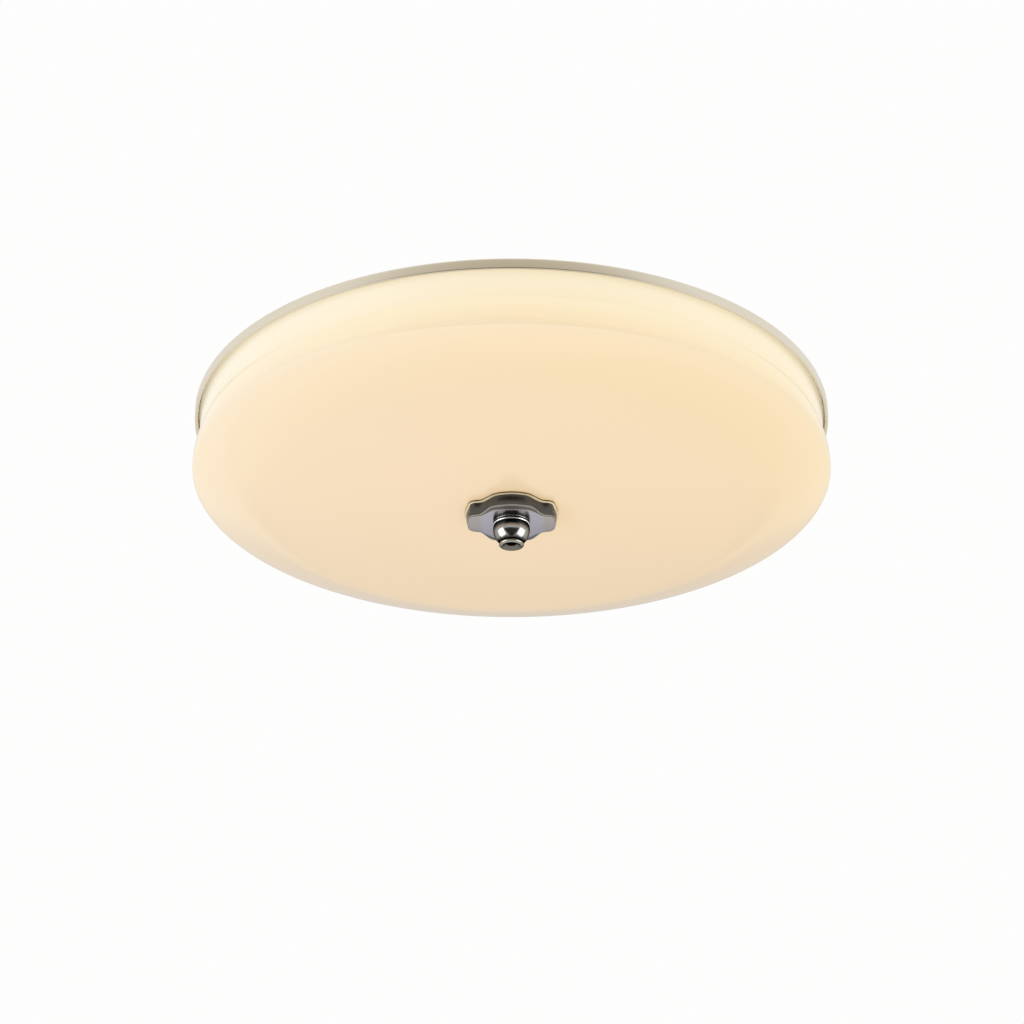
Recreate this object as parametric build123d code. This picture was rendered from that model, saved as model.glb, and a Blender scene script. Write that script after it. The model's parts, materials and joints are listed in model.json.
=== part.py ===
from build123d import *
import os
from math import cos, radians, sqrt, tan

# Flush mount ceiling light, 400 mm across: a pressed steel pan, an LED ring with its driver, and an
# opal glass shade that hangs on a threaded rod by a lobed plate and a turned knob.
# Millimetres, +Z up. The origin is the centre of the ceiling plane, and the light hangs below it.

# ---- ceiling pan ----
SHEET = 1.0                # steel sheet
PAN_R = 200.0
RIM_H = 7.0                # height of the visible rim
HEM_H = 3.5                # where the sheet folded back inside the rim ends
RIM_BEND_R = 1.5
STEP_R = 174.0             # the flat ring that touches the ceiling starts here
TRAY_R = 164.0
TRAY_DEPTH = 10.0          # upper face of the tray, which leaves the wiring space above it

# ---- mounting crossbar, threaded rod and nuts ----
BAR_LENGTH = 124.0
BAR_WIDTH = 26.0
BAR_THICK = 1.8
BAR_FLAT_HALF = 21.0       # half of the sunk middle, which carries the pan
BAR_JOGGLE = 6.0
BAR_LIP_H = 3.0
BOX_SLOT_SPACING = 84.0
BOX_SLOT_LENGTH = 26.0
BOX_SLOT_WIDTH = 4.6
ROD_R = 5.0                # M10 x 1 lamp thread
ROD_BORE_R = 3.4
ROD_TOP = 3.0
THREAD_GAP = 0.05
NUT_ACROSS_FLATS = 14.0
NUT_THICK = 3.5
LOCK_WASHER_R = 9.0
LOCK_WASHER_THICK = 0.8
PAN_SCREW_X = 14.0
PAN_SCREW_HOLE_R = 2.3

# ---- LED ring ----
BOARD_INNER_R = 92.0
BOARD_OUTER_R = 150.0
BOARD_THICK = 1.6
BOARD_SCREW_R = 123.0
BOARD_SCREWS = 6
CHIP_SIZE = (2.8, 3.5, 0.8)
CHIP_RINGS = ((110.0, 24), (136.0, 32))     # radius and number of chips
PLUG_SIZE = (9.0, 8.0, 5.0)
PLUG_X = 98.0

# ---- driver, terminal block, grommet and leads ----
DRIVER_SIZE = (78.0, 32.0, 20.0)
DRIVER_Y = 42.0
DRIVER_WALL = 1.6
DRIVER_LID = 1.8
DRIVER_CORNER_R = 3.0
DRIVER_EAR = (11.0, 10.0, 2.5)
VENT_SIZE = (1.6, 16.0)
VENT_PITCH = 5.0
VENTS = 7
STUB_R = 3.6               # rubber strain relief on each end of the driver
STUB_LENGTH = 3.0
STUB_Y = 32.0
STUB_Z = -20.0
BLOCK_SIZE = (31.0, 20.0, 13.0)
BLOCK_BASE_H = 7.0
BLOCK_Y = -56.0
POLE_PITCH = 11.0
POLE_WIDTH = 6.4
POLE_BORE_R = 1.9
POLE_BORE_DEPTH = 6.0
POLE_Z = -18.5
CLAMP_SCREW_R = 1.7
CLAMP_OFFSET = 5.0
CLAMP_WELL = 3.0
GROMMET_Y = -30.0
GROMMET_BORE_R = 5.0
GROMMET_HOLE_R = 6.5
GROMMET_FLANGE_R = 8.5
GROMMET_LIP = 1.5
TONGUE_THICK = 0.8
BARREL_R = 1.6
BARREL_LENGTH = 5.0
BARREL_END = 10.5          # from the earth screw to the end of the barrel
LEAD_OFFSET = 1.1          # half the distance between two leads in one strain relief
GROUND_X = 34.0
GROUND_Y = -44.0
RING_TONGUE_R = 4.4
LEAD_R = 1.0
ARC_SHARE = 0.45           # share of the shorter run that a bend uses
M3_R = 1.5
M2_5_R = 1.25
M4_R = 2.0
SCREW_GAP = 0.05

# ---- opal glass shade ----
GLASS_WALL = 4.0
GLASS_TOP = 3.0            # depth of the rim, which sits on the foam gasket
NECK_R = 196.4
NECK_DEPTH = 20.0          # the straight neck ends in a soft crease
CREASE_R = 196.0
CREASE_DEPTH = 22.3
FLARE_R = 196.7            # the side flares out from here
FLARE_DEPTH = 24.6
RIDGE_R = 199.5            # widest line, where the side turns into the bottom
RIDGE_DEPTH = 40.5
SHOULDER_R = 197.8
SHOULDER_DEPTH = 43.0
SLOPE_R = 168.0            # the sloped border of the bottom ends here
SLOPE_DEPTH = 53.6
KNEE_R = 150.0             # and bends into the nearly flat middle
KNEE_DEPTH = 57.0
GLASS_DEPTH = 60.5
SEAT_R = 32.0              # ground flat round the centre hole
GLASS_HOLE_R = 8.4
GASKET_INNER_R = 190.0
GASKET_OUTER_R = 197.4

# ---- finial: bush, washer, lobed plate and knob; heights count down from the glass ----
SLIDE_BORE_R = 5.3
BUSH_FLANGE_R = 13.0
BUSH_FLANGE_H = 2.0
WASHER_R = 11.0
WASHER_H = 1.0
PLATE_FACE_H = 7.5
PLATE_ROOF_H = 4.6
# corners and their bend radius over one quarter of the plate; the hollow corner's radius is negative
PLATE_FOOT = (
    ((0, 32.1), 22), ((10.8, 29.1), 12), ((18.9, 19.8), -6), ((26.1, 18.8), 5.5), ((30.0, 0), 30),
)
PLATE_FACE = (
    ((0, 26.6), 30), ((12.8, 23.7), 8), ((19.5, 11.9), -5), ((26.9, 10.4), 5), ((27.9, 0), 20),
)
PLATE_HOLLOW = (
    ((0, 26.4), 18), ((9.5, 24.0), 8), ((15.5, 12.4), -6), ((24.0, 11.8), 4), ((25.6, 0), 20),
)
# height of each step of the skin, its share of the way from foot to face, and its inset
PLATE_STEPS = (
    (0.3, 0, 0), (1.4, 0, 0), (1.7, 0, 1.1), (4.6, 0.3, 0.8), (6.5, 0.68, 0.4), (PLATE_FACE_H, 1, 0),
)
BALL_R = 11.5
BALL_H = 11.5
COLLAR_H = 1.2
KNOB_H = 22.8
NUB_R = 7.8
NUB_H = 21.5
NUB_NECK_R = 6.8
NUB_NECK_H = 20.4
DISH_R = 6.0
DISH_DEPTH = 1.4
THREAD_DEPTH_H = 18.0      # how far down the knob's blind thread reaches
ROD_END_H = 16.8

TRAY_FACE_Z = -TRAY_DEPTH - SHEET           # lower face of the tray, which carries the gear
INNER_RIM_R = PAN_R - SHEET
BAR_SEAT_Z = -TRAY_DEPTH + BAR_THICK        # upper face of the crossbar's sunk middle
SEAT_Z = -GLASS_DEPTH


# ---- shared forms ----
def turned(*outline):
    """Solid of revolution about Z from (radius, z) corners."""
    return revolve(make_face(Plane.XZ * Polyline(*outline, close=True)), Axis.Z)


def ring(inner_r, outer_r, top_z, bottom_z):
    return turned((inner_r, bottom_z), (outer_r, bottom_z), (outer_r, top_z), (inner_r, top_z))


def drill(radius, x=0.0, y=0.0):
    """Long cutter for a hole through the pan or the crossbar."""
    return Pos(x, y, TRAY_FACE_Z) * Cylinder(radius, 4 * TRAY_DEPTH)


def slab(size, top_z, x=0.0, y=0.0):
    """Box of the given size whose upper face is at top_z."""
    return Pos(x, y, top_z) * Box(*size, align=(Align.CENTER, Align.CENTER, Align.MAX))


def around(radius, count, first_deg=0.0):
    """Places on a circle about Z, each turned to face outwards."""
    return [Rot(Z=first_deg + 360 * step / count) * Pos(radius, 0, 0) for step in range(count)]


def group(pieces):
    """Several separate solids that share one node."""
    return Compound([solid for piece in pieces for solid in piece.solids()])


def screw(shank_r, head_r, head_h, length, face_z):
    """Screw driven upwards: its head hangs below face_z and its shank rises above."""
    return ring(0, shank_r, face_z + length, face_z) + ring(0, head_r, face_z, face_z - head_h)


def lock_nut(top_z):
    blank = extrude(RegularPolygon(NUT_ACROSS_FLATS / 2, 6, major_radius=False), NUT_THICK)
    return Pos(0, 0, top_z - NUT_THICK) * blank - drill(ROD_R + THREAD_GAP)


# ---- ceiling pan, crossbar and rod ----
def driver_screw_places():
    reach = (DRIVER_SIZE[0] + DRIVER_EAR[0]) / 2
    return [(side * reach, DRIVER_Y) for side in (-1, 1)]


def block_screw_places():
    return [(side * POLE_PITCH / 2, BLOCK_Y) for side in (-1, 1)]


def pan():
    """Pressed dish: a tray, a 45 degree step, the ring that touches the ceiling, and a hemmed rim."""
    slant = (sqrt(2) - 1) * SHEET           # keeps the sheet's thickness on the step
    hem_r = INNER_RIM_R - SHEET
    rim_end_z = -RIM_H + SHEET
    bend_mid = RIM_BEND_R * (1 - cos(radians(45)))
    outside = Polyline(
        (SLIDE_BORE_R, -TRAY_DEPTH), (TRAY_R, -TRAY_DEPTH), (STEP_R, 0), (PAN_R - RIM_BEND_R, 0),
    )
    bend = ThreePointArc((PAN_R - RIM_BEND_R, 0), (PAN_R - bend_mid, -bend_mid), (PAN_R, -RIM_BEND_R))
    side = Line((PAN_R, -RIM_BEND_R), (PAN_R, rim_end_z))
    fold = ThreePointArc((PAN_R, rim_end_z), (INNER_RIM_R, -RIM_H), (hem_r, rim_end_z))
    inside = Polyline(
        (hem_r, rim_end_z), (hem_r, -HEM_H), (INNER_RIM_R, -HEM_H), (INNER_RIM_R, -SHEET),
        (STEP_R + slant, -SHEET), (TRAY_R + slant, TRAY_FACE_Z), (SLIDE_BORE_R, TRAY_FACE_Z),
        (SLIDE_BORE_R, -TRAY_DEPTH),
    )
    dish = revolve(make_face(Plane.XZ * Curve([outside, bend, side, fold, inside])), Axis.Z)
    dish -= drill(GROMMET_HOLE_R, 0, GROMMET_Y)
    dish -= [drill(PAN_SCREW_HOLE_R, side * PAN_SCREW_X) for side in (-1, 1)]
    dish -= [place * drill(M3_R + SCREW_GAP) for place in around(BOARD_SCREW_R, BOARD_SCREWS, 30)]
    dish -= [drill(M3_R + SCREW_GAP, x, y) for x, y in driver_screw_places()]
    dish -= [drill(M2_5_R + SCREW_GAP, x, y) for x, y in block_screw_places()]
    dish -= drill(M4_R + SCREW_GAP, GROUND_X, GROUND_Y)
    return dish


def crossbar():
    """Steel strip, sunk in the middle, with two slots for the screws of a junction box."""
    end_x = BAR_LENGTH / 2
    joggle_x = BAR_FLAT_HALF + BAR_JOGGLE
    outline = Polyline(
        (0, BAR_SEAT_Z), (BAR_FLAT_HALF, BAR_SEAT_Z), (joggle_x, 0), (end_x, 0), (end_x, -BAR_THICK),
        (joggle_x + 0.8, -BAR_THICK), (BAR_FLAT_HALF + 0.8, -TRAY_DEPTH), (0, -TRAY_DEPTH), close=True,
    )
    half = make_face(Plane.XZ * outline)
    right = extrude(half, BAR_WIDTH / 2, both=True)
    bar = right + mirror(right, Plane.YZ)
    bar = fillet(bar.edges().filter_by(Axis.Z).group_by(Axis.X)[0], 4)
    bar = fillet(bar.edges().filter_by(Axis.Z).group_by(Axis.X)[-1], 4)
    lip = Box(2 * BAR_FLAT_HALF, BAR_THICK, BAR_LIP_H, align=(Align.CENTER, Align.CENTER, Align.MIN))
    bar += [Pos(0, side * (BAR_WIDTH - BAR_THICK) / 2, BAR_SEAT_Z) * lip for side in (-1, 1)]
    slot = extrude(SlotOverall(BOX_SLOT_LENGTH, BOX_SLOT_WIDTH), BAR_THICK, both=True)
    bar -= [Pos(side * BOX_SLOT_SPACING / 2, 0, 0) * slot for side in (-1, 1)]
    bar -= drill(ROD_R + THREAD_GAP)
    bar -= [drill(M4_R + SCREW_GAP, side * PAN_SCREW_X) for side in (-1, 1)]
    return bar


def threaded_rod():
    return ring(ROD_BORE_R, ROD_R, -ROD_TOP, SEAT_Z - ROD_END_H)


def lock_washer():
    """Toothed ring between the tray and its nut."""
    blank = ring(ROD_R + THREAD_GAP, LOCK_WASHER_R, TRAY_FACE_Z, TRAY_FACE_Z - LOCK_WASHER_THICK)
    notch = slab((2.0, 1.4, LOCK_WASHER_THICK), TRAY_FACE_Z)
    return blank - [place * notch for place in around(LOCK_WASHER_R, 10)]


# ---- LED ring ----
def led_board():
    board = ring(BOARD_INNER_R, BOARD_OUTER_R, TRAY_FACE_Z, TRAY_FACE_Z - BOARD_THICK)
    return board - [place * drill(M3_R + SCREW_GAP) for place in around(BOARD_SCREW_R, BOARD_SCREWS, 30)]


def led_chips():
    chip = slab(CHIP_SIZE, TRAY_FACE_Z - BOARD_THICK)
    first = 360 / CHIP_RINGS[0][1] / 2      # leaves the plug's corner free
    return group([place * chip for radius, count in CHIP_RINGS for place in around(radius, count, first)])


def board_plug():
    plug = slab(PLUG_SIZE, TRAY_FACE_Z - BOARD_THICK, PLUG_X)
    return chamfer(plug.faces().sort_by(Axis.Z)[0].edges(), 0.6)


# ---- driver, terminal block, grommet ----
def driver_case():
    """Plastic tray against the pan, open below, with an ear at each end."""
    length, width, height = DRIVER_SIZE
    case_h = height - DRIVER_LID
    case = slab((length, width, case_h), TRAY_FACE_Z, 0, DRIVER_Y)
    case = fillet(case.edges().filter_by(Axis.Z), DRIVER_CORNER_R)
    hollow = (length - 2 * DRIVER_WALL, width - 2 * DRIVER_WALL, case_h - DRIVER_WALL)
    case -= slab(hollow, TRAY_FACE_Z - DRIVER_WALL, 0, DRIVER_Y)
    case += [slab(DRIVER_EAR, TRAY_FACE_Z, x, y) for x, y in driver_screw_places()]
    return case - [drill(M3_R + SCREW_GAP, x, y) for x, y in driver_screw_places()]


def driver_lid():
    length, width, height = DRIVER_SIZE
    lid = slab((length, width, DRIVER_LID), TRAY_FACE_Z - height + DRIVER_LID, 0, DRIVER_Y)
    lid = fillet(lid.edges().filter_by(Axis.Z), DRIVER_CORNER_R)
    vent = slab((*VENT_SIZE, 4 * DRIVER_LID), TRAY_FACE_Z - height + 2 * DRIVER_LID, 0, DRIVER_Y)
    return lid - [Pos(VENT_PITCH * (step - (VENTS - 1) / 2), 0, 0) * vent for step in range(VENTS)]


def driver_stubs():
    stub = Rot(Y=90) * Cone(STUB_R, STUB_R * 0.7, STUB_LENGTH)
    out = Pos((DRIVER_SIZE[0] + STUB_LENGTH) / 2, STUB_Y, STUB_Z) * stub
    return group([out, mirror(out, Plane.YZ)])


def terminal_block():
    """Three screw clamps in one moulding, with a bore for a wire at each end of each pole."""
    length, width, height = BLOCK_SIZE
    block = slab((length, width, BLOCK_BASE_H), TRAY_FACE_Z, 0, BLOCK_Y)
    tower = slab((POLE_WIDTH, width, height), TRAY_FACE_Z, 0, BLOCK_Y)
    poles = [Pos(POLE_PITCH * step, 0, 0) for step in (-1, 0, 1)]
    block += [pole * tower for pole in poles]
    bore = Rot(X=90) * Cylinder(POLE_BORE_R, POLE_BORE_DEPTH)
    reach = (width - POLE_BORE_DEPTH) / 2
    block -= [pole * Pos(0, BLOCK_Y + end * reach, POLE_Z) * bore for pole in poles for end in (-1, 1)]
    well = Cylinder(CLAMP_SCREW_R + SCREW_GAP, 2 * CLAMP_WELL)
    block -= [Pos(x, y, TRAY_FACE_Z - height) * well for x, y in clamp_places()]
    return block - [drill(M2_5_R + SCREW_GAP, x, y) for x, y in block_screw_places()]


def clamp_places():
    return [(POLE_PITCH * step, BLOCK_Y + end * CLAMP_OFFSET) for step in (-1, 0, 1) for end in (-1, 1)]


def grommet():
    """Rubber ring in the edge of the pan's wire hole, with a lip on each side of the sheet."""
    lip_top = -TRAY_DEPTH + GROMMET_LIP
    lip_low = TRAY_FACE_Z - GROMMET_LIP
    return Pos(0, GROMMET_Y, 0) * turned(
        (GROMMET_BORE_R, lip_top), (GROMMET_FLANGE_R - 0.7, lip_top), (GROMMET_FLANGE_R, -TRAY_DEPTH),
        (GROMMET_HOLE_R, -TRAY_DEPTH), (GROMMET_HOLE_R, TRAY_FACE_Z), (GROMMET_FLANGE_R, TRAY_FACE_Z),
        (GROMMET_FLANGE_R - 0.7, lip_low), (GROMMET_BORE_R, lip_low),
    )


def ring_tongue():
    """Crimped terminal of the earth lead, flat against the tray under the earth screw."""
    tongue = Cylinder(RING_TONGUE_R, TONGUE_THICK, align=(Align.CENTER, Align.CENTER, Align.MAX))
    neck = slab((2 * BARREL_R, BARREL_END, TONGUE_THICK), 0, 0, -BARREL_END / 2)
    barrel = Rot(X=90) * Cylinder(BARREL_R, BARREL_LENGTH)
    terminal = tongue + neck + Pos(0, BARREL_LENGTH / 2 - BARREL_END, -BARREL_R) * barrel
    terminal -= Cylinder(M4_R + SCREW_GAP, 4 * TONGUE_THICK)
    return Pos(GROUND_X, GROUND_Y, TRAY_FACE_Z) * terminal


# ---- leads, each held along its route between the pan and the shade ----
def lead(*route):
    """Insulated wire: straight runs joined by tangent arcs, each as large as its two runs allow."""
    points = [Vector(*point) for point in route]
    runs = [end - start for start, end in zip(points, points[1:])]
    radii = []
    for before, after in zip(runs, runs[1:]):
        half_turn = radians(before.get_angle(after)) / 2
        radii.append(ARC_SHARE * min(before.length, after.length) / tan(half_turn))
    path = FilletPolyline(*points, radius=radii)
    wire = sweep(Plane(points[0], z_dir=runs[0]) * Circle(LEAD_R), path=path)
    share = wire.volume / (Circle(LEAD_R).area * path.length)
    print(f"lead: length {path.length:.0f}, tightest bend {min(radii):.1f}, volume share {share:.3f}")
    return wire


def leads():
    out_x = DRIVER_SIZE[0] / 2 + STUB_LENGTH
    upper_z = STUB_Z + LEAD_OFFSET
    lower_z = STUB_Z - LEAD_OFFSET
    pole_y = BLOCK_Y - BLOCK_SIZE[1] / 2 + POLE_BORE_DEPTH
    turn_y = pole_y - 20
    barrel_y = GROUND_Y - BARREL_END
    barrel_z = TRAY_FACE_Z - BARREL_R
    plug_x = PLUG_X - PLUG_SIZE[0] / 2
    plug_z = TRAY_FACE_Z - BOARD_THICK - PLUG_SIZE[2] / 2
    return {
        "live_lead": lead(
            (-out_x, STUB_Y, upper_z), (-64, STUB_Y, upper_z), (-70, -4, -15), (-60, -48, -15.4),
            (-32, -80, -17.4), (-POLE_PITCH, turn_y, POLE_Z), (-POLE_PITCH, pole_y, POLE_Z),
        ),
        "neutral_lead": lead(
            (-out_x, STUB_Y, lower_z), (-62, STUB_Y, lower_z), (-66, -2, -18), (-55, -44, -18.4),
            (-33, -82, -20.4), (0, turn_y - 4, POLE_Z), (0, pole_y, POLE_Z),
        ),
        "earth_lead": lead(
            (POLE_PITCH, pole_y, POLE_Z), (POLE_PITCH, turn_y, POLE_Z), (GROUND_X, turn_y, -14),
            (GROUND_X, barrel_y, barrel_z),
        ),
        "led_positive_lead": lead(
            (out_x, STUB_Y, upper_z), (64, STUB_Y, upper_z), (74, 1.6, plug_z), (plug_x, 1.6, plug_z),
        ),
        "led_negative_lead": lead(
            (out_x, STUB_Y, lower_z), (60, STUB_Y, lower_z), (70, -1.6, plug_z), (plug_x, -1.6, plug_z),
        ),
    }


# ---- glass shade ----
def shade_profile(inset):
    """Half section of the shade's skin, from its rim to the flat seat, drawn inwards by inset."""
    def at(radius, depth):
        return (radius - inset, -(depth - inset))

    ridge = at(RIDGE_R, RIDGE_DEPTH)
    slope_end = at(SLOPE_R, SLOPE_DEPTH)
    knee_end = at(KNEE_R, KNEE_DEPTH)
    neck = Line((NECK_R - inset, -GLASS_TOP), at(NECK_R, NECK_DEPTH))
    crease = ThreePointArc(at(NECK_R, NECK_DEPTH), at(CREASE_R, CREASE_DEPTH), at(FLARE_R, FLARE_DEPTH))
    flare = TangentArc(ridge, at(FLARE_R, FLARE_DEPTH), tangent=(0, 1))
    turn = TangentArc(ridge, at(SHOULDER_R, SHOULDER_DEPTH), tangent=(0, -1))
    slope = TangentArc(turn @ 1, slope_end, tangent=turn % 1)
    knee = TangentArc(slope_end, knee_end, tangent=slope % 1)
    middle = TangentArc((SEAT_R, -(GLASS_DEPTH - inset)), knee_end, tangent=(1, 0))
    return [neck, crease, flare, turn, slope, knee, middle]


def glass_shade():
    seat = Line((SEAT_R, SEAT_Z), (GLASS_HOLE_R, SEAT_Z))
    hole = Line((GLASS_HOLE_R, SEAT_Z), (GLASS_HOLE_R, SEAT_Z + GLASS_WALL))
    inner_seat = Line((GLASS_HOLE_R, SEAT_Z + GLASS_WALL), (SEAT_R, SEAT_Z + GLASS_WALL))
    rim = Line((NECK_R, -GLASS_TOP), (NECK_R - GLASS_WALL, -GLASS_TOP))
    section = Curve([*shade_profile(0), seat, hole, inner_seat, *shade_profile(GLASS_WALL), rim])
    return revolve(make_face(Plane.XZ * section), Axis.Z)


def shade_bush():
    """Rubber bush that centres the glass on the rod, with its flange on the inside."""
    flange_z = SEAT_Z + GLASS_WALL
    return turned(
        (SLIDE_BORE_R, SEAT_Z), (GLASS_HOLE_R, SEAT_Z), (GLASS_HOLE_R, flange_z), (BUSH_FLANGE_R, flange_z),
        (BUSH_FLANGE_R - 0.6, flange_z + BUSH_FLANGE_H), (SLIDE_BORE_R, flange_z + BUSH_FLANGE_H),
    )


# ---- finial, drawn with its heights upwards and then turned over below the glass ----
def below_glass(shape):
    return Pos(0, 0, SEAT_Z) * Rot(X=180) * shape


def plate_outline(quarter, height):
    """Cartouche: a crown on two sides, an ogee down to each shoulder, and two broad round ends."""
    crown, *sides, end = quarter

    def facing(corners, x_side, y_side):
        return [((x * x_side, y * y_side), radius) for (x, y), radius in corners]

    back = sides[::-1]
    loop = [crown, *sides, end, *facing(back, 1, -1), *facing([crown], 1, -1)]
    loop += [*facing(sides, -1, -1), *facing([end], -1, 1), *facing(back, -1, 1)]
    corners = [corner for corner, radius in loop]
    radii = [abs(radius) for corner, radius in loop]
    return Pos(0, 0, height) * make_face(FilletPolyline(*corners, radius=radii, close=True))


def plate_step(height, share, inset):
    """Outline of the skin at one height, part of the way from the foot's outline to the face's."""
    def drawn_in(foot, face):
        return max(foot + share * (face - foot) - inset, 0)

    quarter = []
    for (foot, foot_bend), (face, face_bend) in zip(PLATE_FOOT, PLATE_FACE):
        bend = foot_bend + share * (face_bend - foot_bend) - inset
        quarter.append(((drawn_in(foot[0], face[0]), drawn_in(foot[1], face[1])), bend))
    return plate_outline(quarter, height)


def finial_plate():
    """Hollow casting: a thin rim bead, a wall that leans in most at the shoulders, and a flat face."""
    skin = loft([plate_step(*step) for step in PLATE_STEPS], ruled=True)
    hollow = extrude(plate_outline(PLATE_HOLLOW, 0), PLATE_ROOF_H)
    boss = ring(SLIDE_BORE_R, WASHER_R, WASHER_H + PLATE_ROOF_H, WASHER_H)
    return below_glass(skin - hollow + boss - Cylinder(SLIDE_BORE_R, 4 * PLATE_FACE_H))


def finial_knob():
    """Turned knob: a collar on the plate, a ball, a neck, and a nub with a dished end."""
    top_h = PLATE_FACE_H
    collar_end_h = top_h + COLLAR_H
    dish_sphere_r = (DISH_R ** 2 + DISH_DEPTH ** 2) / (2 * DISH_DEPTH)
    dish_mid_h = KNOB_H - DISH_DEPTH + dish_sphere_r - sqrt(dish_sphere_r ** 2 - (DISH_R / 2) ** 2)

    def on_ball(height):
        return (sqrt(BALL_R ** 2 - (height - BALL_H) ** 2), height)

    ball_start = on_ball(collar_end_h + 0.5)
    ball_end = on_ball(NUB_NECK_H - 0.6)
    section = Curve([
        Polyline(
            (ROD_R + THREAD_GAP, top_h), (BALL_R, top_h), (BALL_R, collar_end_h),
            (ball_start[0] - 0.4, collar_end_h + 0.2), ball_start,
        ),
        ThreePointArc(ball_start, (BALL_R, BALL_H), ball_end),
        Line(ball_end, (NUB_NECK_R, NUB_NECK_H)),
        ThreePointArc((NUB_NECK_R, NUB_NECK_H), (NUB_R, NUB_H), (DISH_R, KNOB_H)),
        ThreePointArc((DISH_R, KNOB_H), (DISH_R / 2, dish_mid_h), (0, KNOB_H - DISH_DEPTH)),
        Polyline(
            (0, KNOB_H - DISH_DEPTH), (0, THREAD_DEPTH_H), (ROD_R + THREAD_GAP, THREAD_DEPTH_H),
            (ROD_R + THREAD_GAP, top_h),
        ),
    ])
    return below_glass(revolve(make_face(Plane.XZ * section), Axis.Z))


def build_parts():
    nut_low_z = TRAY_FACE_Z - LOCK_WASHER_THICK
    ear_z = TRAY_FACE_Z - DRIVER_EAR[2]
    block_base_z = TRAY_FACE_Z - BLOCK_BASE_H
    block_face_z = TRAY_FACE_Z - BLOCK_SIZE[2]
    board_z = TRAY_FACE_Z - BOARD_THICK
    parts = {
        "ceiling_pan": pan(),
        "mounting_crossbar": crossbar(),
        "threaded_rod": threaded_rod(),
        "crossbar_nut": lock_nut(BAR_SEAT_Z + NUT_THICK),
        "lock_washer": lock_washer(),
        "pan_nut": lock_nut(nut_low_z),
        "pan_screws": group(
            Pos(side * PAN_SCREW_X, 0, 0) * screw(M4_R, 3.8, 2.4, 4.6, TRAY_FACE_Z) for side in (-1, 1)
        ),
        "shade_gasket": ring(GASKET_INNER_R, GASKET_OUTER_R, -SHEET, -GLASS_TOP),
        "led_board": led_board(),
        "led_chips": led_chips(),
        "board_plug": board_plug(),
        "board_screws": group(
            place * screw(M3_R, 2.8, 1.8, BOARD_THICK + 4, board_z)
            for place in around(BOARD_SCREW_R, BOARD_SCREWS, 30)
        ),
        "driver_case": driver_case(),
        "driver_lid": driver_lid(),
        "driver_stubs": driver_stubs(),
        "driver_screws": group(
            Pos(x, y, 0) * screw(M3_R, 2.8, 1.8, DRIVER_EAR[2] + 4, ear_z) for x, y in driver_screw_places()
        ),
        "terminal_block": terminal_block(),
        "clamp_screws": group(
            Pos(x, y, 0) * ring(0, CLAMP_SCREW_R, block_face_z + CLAMP_WELL, block_face_z + 0.5)
            for x, y in clamp_places()
        ),
        "block_screws": group(
            Pos(x, y, 0) * screw(M2_5_R, 2.1, 1.4, BLOCK_BASE_H + 3.5, block_base_z)
            for x, y in block_screw_places()
        ),
        "wire_grommet": grommet(),
        "earth_tongue": ring_tongue(),
        "earth_screw": Pos(GROUND_X, GROUND_Y, 0) * screw(M4_R, 3.6, 2.2, 5.5, TRAY_FACE_Z - TONGUE_THICK),
        **leads(),
        "glass_shade": glass_shade(),
        "shade_bush": shade_bush(),
        "shade_washer": ring(SLIDE_BORE_R, WASHER_R, SEAT_Z, SEAT_Z - WASHER_H),
        "finial_plate": finial_plate(),
        "finial_knob": finial_knob(),
    }
    return parts


os.makedirs("parts", exist_ok=True)
for name, shape in build_parts().items():
    shape.label = name
    export_step(shape, f"parts/{name}.step")
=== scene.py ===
# Flush mount ceiling light, 400 mm across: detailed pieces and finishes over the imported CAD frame.
# The sections follow the light as it is put together. Sizes are in millimetres and heights count up
# from the ceiling plane, except in the leads, the finishes and the studio, which are in metres.
import json
from math import atan2, ceil, cos, pi, radians, sin, tan

import bmesh
import bpy
from mathutils import Matrix, Vector

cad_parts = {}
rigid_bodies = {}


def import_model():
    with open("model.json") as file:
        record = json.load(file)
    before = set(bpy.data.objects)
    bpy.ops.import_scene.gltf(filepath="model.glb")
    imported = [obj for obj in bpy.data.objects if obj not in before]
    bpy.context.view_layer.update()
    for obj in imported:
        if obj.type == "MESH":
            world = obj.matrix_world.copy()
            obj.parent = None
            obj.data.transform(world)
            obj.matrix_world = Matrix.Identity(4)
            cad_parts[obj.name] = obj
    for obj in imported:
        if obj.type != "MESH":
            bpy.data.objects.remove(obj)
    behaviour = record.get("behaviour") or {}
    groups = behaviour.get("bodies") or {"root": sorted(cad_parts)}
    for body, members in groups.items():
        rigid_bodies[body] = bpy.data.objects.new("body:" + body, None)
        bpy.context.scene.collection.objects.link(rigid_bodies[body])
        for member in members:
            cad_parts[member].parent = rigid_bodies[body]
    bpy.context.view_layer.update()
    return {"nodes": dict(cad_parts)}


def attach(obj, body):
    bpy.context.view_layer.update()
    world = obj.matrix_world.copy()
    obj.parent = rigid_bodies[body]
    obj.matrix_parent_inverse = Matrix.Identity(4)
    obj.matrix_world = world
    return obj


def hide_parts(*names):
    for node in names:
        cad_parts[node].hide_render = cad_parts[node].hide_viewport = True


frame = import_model()
MM = 0.001                 # a millimetre in Blender's metres


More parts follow.
